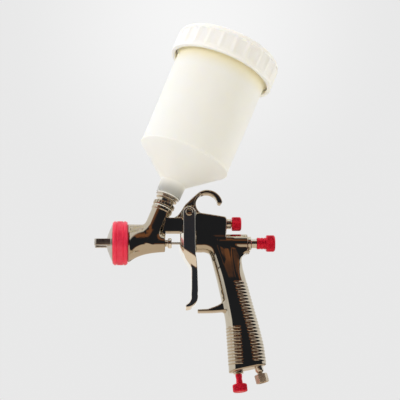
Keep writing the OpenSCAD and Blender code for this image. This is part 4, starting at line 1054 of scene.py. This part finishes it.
def room_part(nodes, links, place):
    """1 where the dark room stands, 0 where the paper does."""
    under = side_of(nodes, links, place, (0, -math.sin(ROOM_TOP), -math.cos(ROOM_TOP)))
    right = side_of(nodes, links, place, (math.cos(ROOM_LEFT), math.sin(ROOM_LEFT), 0))
    below = side_of(nodes, links, place, (0, 0, -1), -WINDOW_SILL)
    wall = joined(nodes, links, "MAXIMUM", right, below)
    return joined(nodes, links, "MULTIPLY", under, wall)


def room_colour(nodes, links, place):
    """The room's dark, crossed by a wavy brown band."""
    clutter = nodes.new("ShaderNodeTexNoise")
    clutter.inputs["Scale"].default_value = CLUTTER_SCALE
    clutter.inputs["Detail"].default_value = CLUTTER_DETAIL
    links.new(place.outputs["Generated"], clutter.inputs["Vector"])
    wavy = ranged(nodes, links, clutter.outputs["Fac"], 0.2, 0.8, -BAND_WAVE, BAND_WAVE)
    across = nodes.new("ShaderNodeSeparateXYZ")
    links.new(place.outputs["Generated"], across.inputs["Vector"])
    height = joined(nodes, links, "ADD", across.outputs["Z"], wavy)
    shade = ramp(nodes, ((0.34, ROOM_DARK), (0.46, ROOM_BROWN), (0.60, ROOM_BROWN), (0.72, ROOM_DARK)))
    links.new(height, shade.inputs["Fac"])
    return shade.outputs["Color"]


def room_light(nodes, links, place):
    """What lights the gun and shows in its plating: bright paper and the room."""
    tint = nodes.new("ShaderNodeMix")
    tint.data_type = "RGBA"
    tint.inputs[6].default_value = PAPER_TONE
    links.new(room_part(nodes, links, place), tint.inputs["Factor"])
    links.new(room_colour(nodes, links, place), tint.inputs[7])
    light = nodes.new("ShaderNodeBackground")
    links.new(tint.outputs[2], light.inputs["Color"])
    return light.outputs["Background"]


def backdrop(nodes, links, place):
    """What the camera sees behind the gun: pale paper with a soft glow behind the cup."""
    spread = nodes.new("ShaderNodeVectorMath")
    spread.operation = "DISTANCE"
    spread.inputs[1].default_value = PAPER_GLOW
    links.new(place.outputs["Generated"], spread.inputs[0])
    paper = nodes.new("ShaderNodeBackground")
    paper.inputs["Color"].default_value = (1, 1, 1, 1)
    links.new(ranged(nodes, links, spread.outputs["Value"], 0.0, 0.15, 0.92, 0.81), paper.inputs["Strength"])
    return paper.outputs["Background"]


def make_world():
    """A studio: the camera sees the backdrop, everything else sees the room."""
    world = bpy.data.worlds.new("studio")
    bpy.context.scene.world = world
    world.use_nodes = True
    nodes, links = world.node_tree.nodes, world.node_tree.links
    nodes.clear()
    place = nodes.new("ShaderNodeTexCoord")
    path = nodes.new("ShaderNodeLightPath")
    mix = nodes.new("ShaderNodeMixShader")
    links.new(path.outputs["Is Camera Ray"], mix.inputs["Fac"])
    links.new(room_light(nodes, links, place), mix.inputs[1])
    links.new(backdrop(nodes, links, place), mix.inputs[2])
    out = nodes.new("ShaderNodeOutputWorld")
    links.new(mix.outputs["Shader"], out.inputs["Surface"])


AIM, WARM = (-0.05, 0, 0.17), (1, 0.95, 0.78)
LAMPS = (
    ("key", (-1.1, -0.9, 0.9), (1.0, 1.0), 12, WHITE), ("fill", (1.2, -1.0, 0.35), (0.7, 1.0), 6.5, WARM),
    ("low", (0.3, -1.0, -0.4), (1.2, 0.6), 2, WARM), ("top", (0.0, 0.1, 1.3), (1.2, 0.8), 2.5, WHITE),
)


def softbox(name, place, size, watts, colour):
    """An area lamp that faces the gun and leaves no square glint in the plating."""
    data = bpy.data.lights.new(name, "AREA")
    data.shape = "RECTANGLE"
    data.size, data.size_y = size
    data.energy = watts
    data.color = colour
    lamp = bpy.data.objects.new(name, data)
    bpy.context.scene.collection.objects.link(lamp)
    lamp.visible_glossy = False
    lamp.location = place
    lamp.rotation_euler = (Vector(AIM) - Vector(place)).to_track_quat("-Z", "Y").to_euler()


VIEW_TARGET = Vector(to_frame((10.19, 0, 39.52)))
VIEW_DISTANCE, VIEW_ANGLE = 1.2594, 16.0
AZIMUTH, ELEVATION, ROLL = -3.0, -15.5, -0.6


def make_camera():
    """The photograph's view: from the gun's left side and well below, looking up."""
    azimuth, elevation = math.radians(AZIMUTH), math.radians(ELEVATION)
    back = Vector((math.sin(azimuth) * math.cos(elevation), -math.cos(azimuth) * math.cos(elevation),
                   math.sin(elevation)))
    right = Vector((math.cos(azimuth), math.sin(azimuth), 0))
    turn = Matrix.Rotation(math.radians(ROLL), 3, back)
    right = turn @ right
    up = back.cross(right)
    data = bpy.data.cameras.new("camera")
    data.angle = math.radians(VIEW_ANGLE)
    camera = bpy.data.objects.new("camera", data)
    bpy.context.scene.collection.objects.link(camera)
    axes = Matrix((right, up, back)).transposed()
    camera.matrix_world = Matrix.Translation(VIEW_TARGET + VIEW_DISTANCE * back) @ axes.to_4x4()
    bpy.context.scene.camera = camera


make_floor()
make_world()
for lamp in LAMPS:
    softbox(*lamp)
make_camera()
bpy.context.scene.view_settings.view_transform = "Standard"
